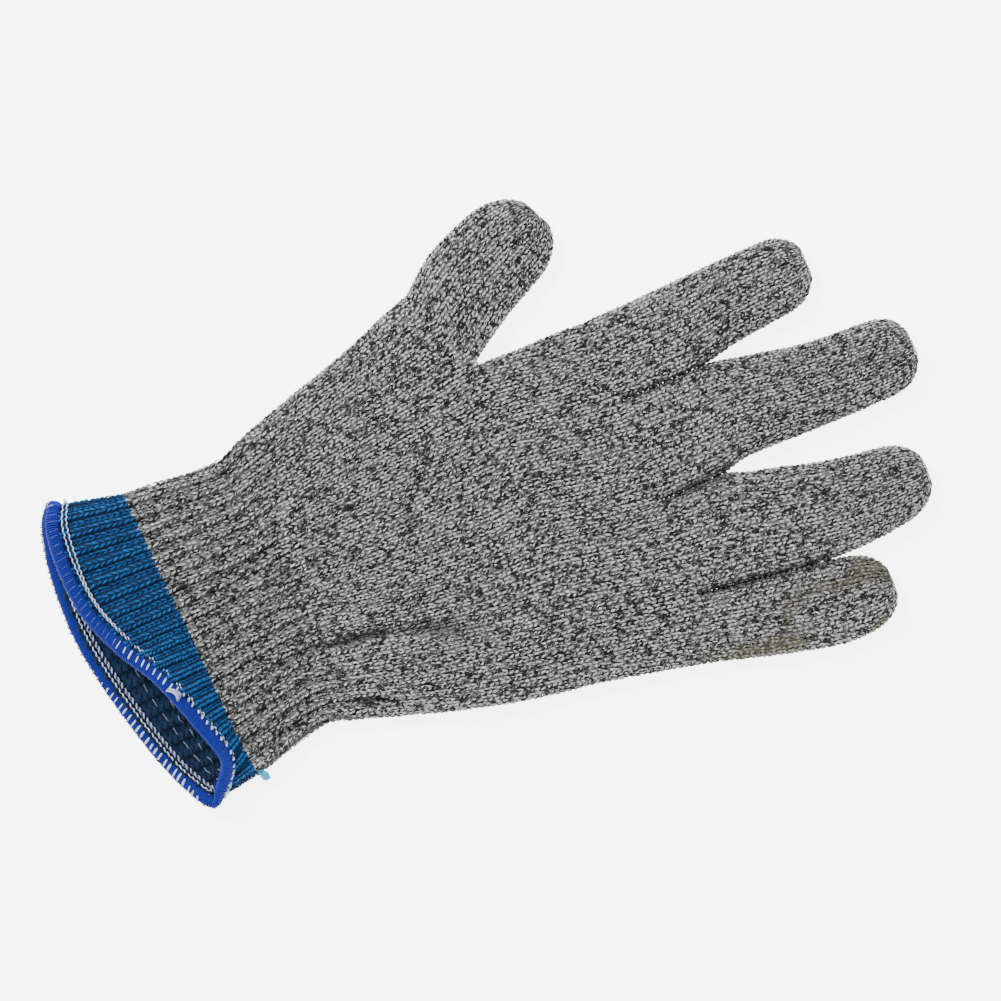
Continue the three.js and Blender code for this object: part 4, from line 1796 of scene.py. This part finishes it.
    def build_hem(self) -> list[bpy.types.Object]:
        """Wraps the edge in thread and runs the looper thread and the chains along it.

        Returns:
            The pieces.
        """
        centre, away, out = self.hem_line(self.hem_points)
        wide, back, thick = self.wrapping
        total = float(np.linalg.norm(np.roll(centre, -1, 0) - centre, axis=1).sum())
        turns, per_turn = round(total / self.turn_pitch), 12
        step = np.arange(turns * per_turn)
        place = step / (turns * per_turn) * len(centre)

        def read(values: Array) -> Array:
            """Reads values that are kept round the hem.

            Args:
                values: One row for each point of the hem's line.

            Returns:
                One row for each step of the thread.
            """
            i = place.astype(int)
            b = (place - i)[:, None]
            return values[i] * (1 - b) + values[(i + 1) % len(values)] * b

        core, side, up = read(centre), unit(read(away)), unit(read(out))
        angle = 2 * np.pi * step / per_turn
        draw = np.random.default_rng(500)
        uneven = np.repeat(draw.normal(1, 0.035, turns), per_turn)
        loop = (
            side * (np.cos(angle) * np.where(np.cos(angle) < 0, back, wide) * uneven)[:, None]
            + up * (np.sin(angle) * thick * uneven)[:, None]
        )
        skein = Skein()
        skein.yarn(
            (core + loop)[None], unit(loop)[None],
            np.full((1, len(step)), self.wrapping_radius), Ends.JOINED,
            flat=0.8, seed=501, twist=2.0,
        )
        # The cord under the wrapping, painted half in shade.
        skein.yarn(
            centre[None, ::2], out[None, ::2],
            np.full((1, len(centre) // 2), wide - self.thread_proud),
            Ends.JOINED, sides=10, flat=thick / wide, seed=502,
            tint=np.array([[[0.3, 0.0, 0.5]]]),
        )
        pieces = [self.dress(
            skein.wind("hem_wrapping", [self.materials.royal]), "hem_thread", "hem_overlock"
        )]
        pieces.append(self.build_looper(centre, away, out, total))
        for name, depth, apart, node in (
            ("outside", -0.1, 0.22, "hem_chain_outside"),
            ("inside", LAYOUT.fabric + 1.25, 0.7, "hem_chain_inside"),
        ):
            pieces.append(self.build_chain(name, depth, apart, node, total))
        return pieces

    def build_looper(
        self, centre: Array, away: Array, out: Array, total: float,
    ) -> bpy.types.Object:
        """Lays the white looper thread in short bars across the hem.

        Args:
            centre: The middle of the hem's cord.
            away: Directions away from the fabric.
            out: Directions out of the glove.
            total: The hem's length.

        Returns:
            The piece.
        """
        wide, back, thick = (size + self.thread_proud for size in self.wrapping)
        draw = np.random.default_rng(520)
        bars = round(total / self.bar_pitch)
        place = ((np.arange(bars) + draw.normal(0, 0.08, bars)) / bars * len(centre)) % len(centre)
        i = place.astype(int) % len(centre)
        upper = smooth((centre[i, 2] - 5.5) / 4.5)
        # Over the upper layer the bars lie on the fabric side. Under it they lie at the edge,
        # and turn in towards the little side.
        turned = smooth((8.0 - centre[i, 1]) / 22.0) * smooth((centre[i, 1] + 46.0) / 10.0)
        thumbward = smooth((centre[i, 1] + 14.0) / 3.0)
        middle = (
            np.radians(156 - 52 * thumbward) * upper - np.radians(8 + 74 * turned) * (1 - upper)
        )
        faint = 1 - 0.2 * thumbward - 0.75 * smooth((centre[i, 1] - 3.0) / 4.0) * upper
        swing = np.radians(38) * draw.uniform(0.7, 1.15, bars)
        q = np.linspace(-1, 1, 7)
        angle = middle[:, None] + swing[:, None] * q
        lean = 0.35 * q[None, :, None] * unit(np.cross(away[i], out[i]))[:, None]
        sole = (
            away[i][:, None] * (
                np.cos(angle) * np.where(np.cos(angle) < 0, back, wide)
            )[..., None]
            + out[i][:, None] * (np.sin(angle) * thick)[..., None]
        )
        girth = np.array((0, 0.9, 1, 1, 1, 0.9, 0)) * self.bar_radius
        skein = Skein()
        skein.yarn(
            centre[i][:, None] + sole + lean, unit(sole),
            girth[None] * faint[:, None] * draw.uniform(0.8, 1.15, (bars, 1)),
            Ends.POINTED, sides=6, seed=521,
        )
        return self.dress(
            skein.wind("hem_looper_bars", [self.materials.white]), "looper_thread", "hem_overlock"
        )

    def build_chain(
        self, name: str, depth: float, apart: float, node: str, total: float,
    ) -> bpy.types.Object:
        """Runs a two-strand chain along one face beside the hem.

        Args:
            name: Which face.
            depth: How far under the outer face it lies.
            apart: Half the distance between its strands.
            node: The node it stands for.
            total: The hem's length.

        Returns:
            The piece.
        """
        links = round(total / self.link)
        per_link = 12
        count = links * per_link
        inner = name == "inside"
        rise, girth = (0.62, 0.2) if inner else (0.5, 0.18)
        line = self.offset(1.0 if inner else 1 - 0.6 * self.chain_back, depth, count)
        border, mouth = self.row(0.0, count), self.mouth(count)
        along = self.run_of(line)
        back = unit(border - mouth)
        out = unit(np.cross(along, mouth - border))
        phase = 2 * np.pi * np.arange(count) / per_link
        over = smooth((line[:, 2] - 6.0) / 4.0)
        # Each strand comes with its side and its painted shade; strands further from the hem are painted darker.
        if inner:
            strands = ((-0.9, 0.0), (0.7, 0.55), (1.3, 0.55))
        else:
            strands = ((-1.0, 0.0), (1.0, 0.1))
            line = line - out * (1.6 * over * smooth((14.0 - line[:, 1]) / 10.0))[:, None]
            apart = apart + 0.4 * smooth((line[:, 1] - 22.0) / 12.0) * over
        skein = Skein()
        for strand, (side, strand_shade) in enumerate(strands):
            start = strand * np.pi * 0.7
            weave = (
                back * (apart * side + 0.14 * np.sin(phase + start))[:, None]
                + out * (rise * np.cos(phase + start))[:, None]
            )
            skein.yarn(
                (line + weave)[None], out[None], np.full((1, count), girth), Ends.JOINED,
                seed=540 + strand, tint=np.full((1, 1, 3), (0.5, 0.0, strand_shade)),
            )
        piece = skein.wind(f"hem_chain_{name}_strands", [self.materials.white])
        return self.dress(piece, "looper_thread", node)

    def build_ends(self) -> list[bpy.types.Object]:
        """Makes the tied-off white thread and the cut tail of blue yarn.

        Returns:
            The pieces.
        """
        low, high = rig.box("hem_thread_end")
        spots = (np.array((low, high)) - WORKSHOP.origin) / MM
        centre, size = spots.mean(0), spots[1] - spots[0]
        q = np.linspace(0, 1, 15)
        pieces = []
        skein = Skein()
        draw = np.random.default_rng(559)
        for strand in range(9):
            turn = 2 * np.pi * (strand / 9 + 0.5 * q) + draw.normal(0, 0.3)
            stray = draw.normal(0, 0.22, 3)
            spread = (0.28 + 0.42 * q**2)[:, None]
            hook = np.column_stack((
                centre[0] - 1.2 + 2.9 * np.sin(0.5 * np.pi * q * 1.15),
                centre[1] + 1.8 - 3.6 * q**1.6,
                centre[2] - 1.0 + 0.7 * np.sin(np.pi * q),
            ))
            hook = hook + spread * np.column_stack((np.cos(turn), np.cos(turn), np.sin(turn)))
            hook = hook + stray * q[:, None] ** 2
            girth = 0.14 * np.minimum(1, 5 * np.minimum(q, 1 - q)) + 0.02
            # Each strand is painted a little more shade than the one before, with a trace of stain.
            skein.yarn(
                hook[None], np.broadcast_to((0.0, 0.0, 1.0), (1, 15, 3)), girth[None],
                Ends.POINTED, seed=560 + strand,
                tint=np.full((1, 1, 3), (0.5, 0.2, 0.2 + 0.08 * strand)),
            )
        pieces.append(self.dress(
            skein.wind("hem_thread_knot", [self.materials.white]), "looper_thread", "hem_thread_end"
        ))
        low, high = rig.box("blue_yarn_tail")
        spots = (np.array((low, high)) - WORKSHOP.origin) / MM
        skein = Skein()
        for strand in range(5):
            turn = 2 * np.pi * (strand / 5 + 0.7 * q)
            curl = 1.15 * np.pi * q
            x = spots[0, 0] + 0.2 + 2.2 * np.sin(curl * 0.8)
            y = spots[1, 1] + 2.6 - 3.2 * np.sin(curl * 0.62)
            z = 5.6 - 2.0 * q
            tail = np.column_stack((x, y, z)) + 0.45 * np.column_stack(
                (np.cos(turn), np.sin(turn), np.sin(turn))
            )
            girth = 0.66 * np.minimum(1, 6 * np.minimum(q, 1 - q)) + 0.02
            skein.yarn(
                tail[None], np.broadcast_to((0.0, 0.0, 1.0), (1, 15, 3)), girth[None],
                Ends.POINTED, seed=570 + strand,
            )
        pieces.append(self.dress(
            skein.wind("blue_yarn_cut_tail", [self.materials.tail]), "knit_blue", "blue_yarn_tail"
        ))
        return pieces

    def build(self) -> list[bpy.types.Object]:
        """Builds the band, the hem and the thread ends.

        Returns:
            The pieces.
        """
        return self.build_band() + self.build_hem() + self.build_ends()


# ---- studio ---------------------------------------------------------------------------


@dataclass
class Studio:
    """The table, the light and the camera."""

    turn: float = 22.0              # degrees the glove's length is turned in the picture
    view_width: float = 0.2803
    lens: float = 100.0
    sensor: float = 36.0
    aim: tuple[float, float, float] = (0.001, -0.0025, 0.006)

    def build(self) -> None:
        """Sets the floor, the lamps and the camera."""
        mesh = bpy.data.meshes.new("table")
        reach = 4.0
        mesh.from_pydata(
            [(-reach, -reach, 0), (reach, -reach, 0), (reach, reach, 0), (-reach, reach, 0)],
            [], [(0, 1, 2, 3)],
        )
        table = bpy.data.objects.new("table", mesh)
        bpy.context.scene.collection.objects.link(table)
        shade = Shade("table_top")
        grain = shade.noise(shade.node("ShaderNodeTexCoord").outputs["Object"], 60.0, 4.0)
        tone = shade.mixed(grain, (0.86, 0.86, 0.86, 1), (0.9, 0.9, 0.9, 1))
        shade.feed(shade.shader.inputs["Base Color"], tone)
        shade.feed(shade.shader.inputs["Roughness"], 0.9)
        shade.feed(shade.shader.inputs["Emission Color"], (1, 1, 1, 1))
        shade.feed(shade.shader.inputs["Emission Strength"], 5.0)
        shade.feed(shade.shader.inputs["Specular IOR Level"], 0.1)
        mesh.materials.append(shade.material)
        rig.stage(table)

        world = bpy.data.worlds.new("studio")
        world.use_nodes = True
        world.node_tree.nodes["Background"].inputs["Color"].default_value = (1, 1, 1, 1)
        world.node_tree.nodes["Background"].inputs["Strength"].default_value = 0.9
        bpy.context.scene.world = world

        for name, place, size, power in (
            ("key", (-0.35, 0.75, 1.0), 0.5, 34.0),
            ("fill", (0.8, -0.5, 0.9), 0.9, 8.0),
        ):
            lamp = bpy.data.lights.new(name, "AREA")
            lamp.shape, lamp.size, lamp.energy = "DISK", size, power
            holder = bpy.data.objects.new(name, lamp)
            holder.location = place
            holder.rotation_euler = self.facing(place)
            bpy.context.scene.collection.objects.link(holder)

        lens = bpy.data.cameras.new("camera")
        lens.lens, lens.sensor_width = self.lens, self.sensor
        camera = bpy.data.objects.new("camera", lens)
        camera.location = (
            self.aim[0], self.aim[1], self.aim[2] + self.view_width * self.lens / self.sensor
        )
        camera.rotation_euler = (0, 0, math.radians(-self.turn))
        bpy.context.scene.collection.objects.link(camera)
        bpy.context.scene.camera = camera

    @staticmethod
    def facing(place: Sequence[float]) -> tuple[float, float, float]:
        """Angles that turn a lamp at a place towards the origin."""
        x, y, z = place
        return math.atan2(math.hypot(x, y), z), 0.0, math.atan2(y, x) + math.pi / 2


def main() -> None:
    """Builds the glove and its surroundings."""
    logging.basicConfig(level=logging.INFO, format="%(message)s")
    Studio().build()
    materials = Materials()
    pieces = []
    for part in (Cuff(materials), Wrist(materials), Palm(materials), Hand(materials)):
        made = part.build()
        log.info("%s: %d pieces", type(part).__name__, len(made))
        pieces += made
    for piece in pieces:
        log.info("%s stands for %s", piece.name, ", ".join(piece["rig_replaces"]))


if __name__ == "__main__":
    main()
    boxes = {"cad": cad_box, "visual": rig.bounds()}
    sizes = {name: [list(corner) for corner in box] for name, box in boxes.items()}
    with open("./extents.json", "w", encoding="utf-8") as file:
        json.dump(sizes, file)
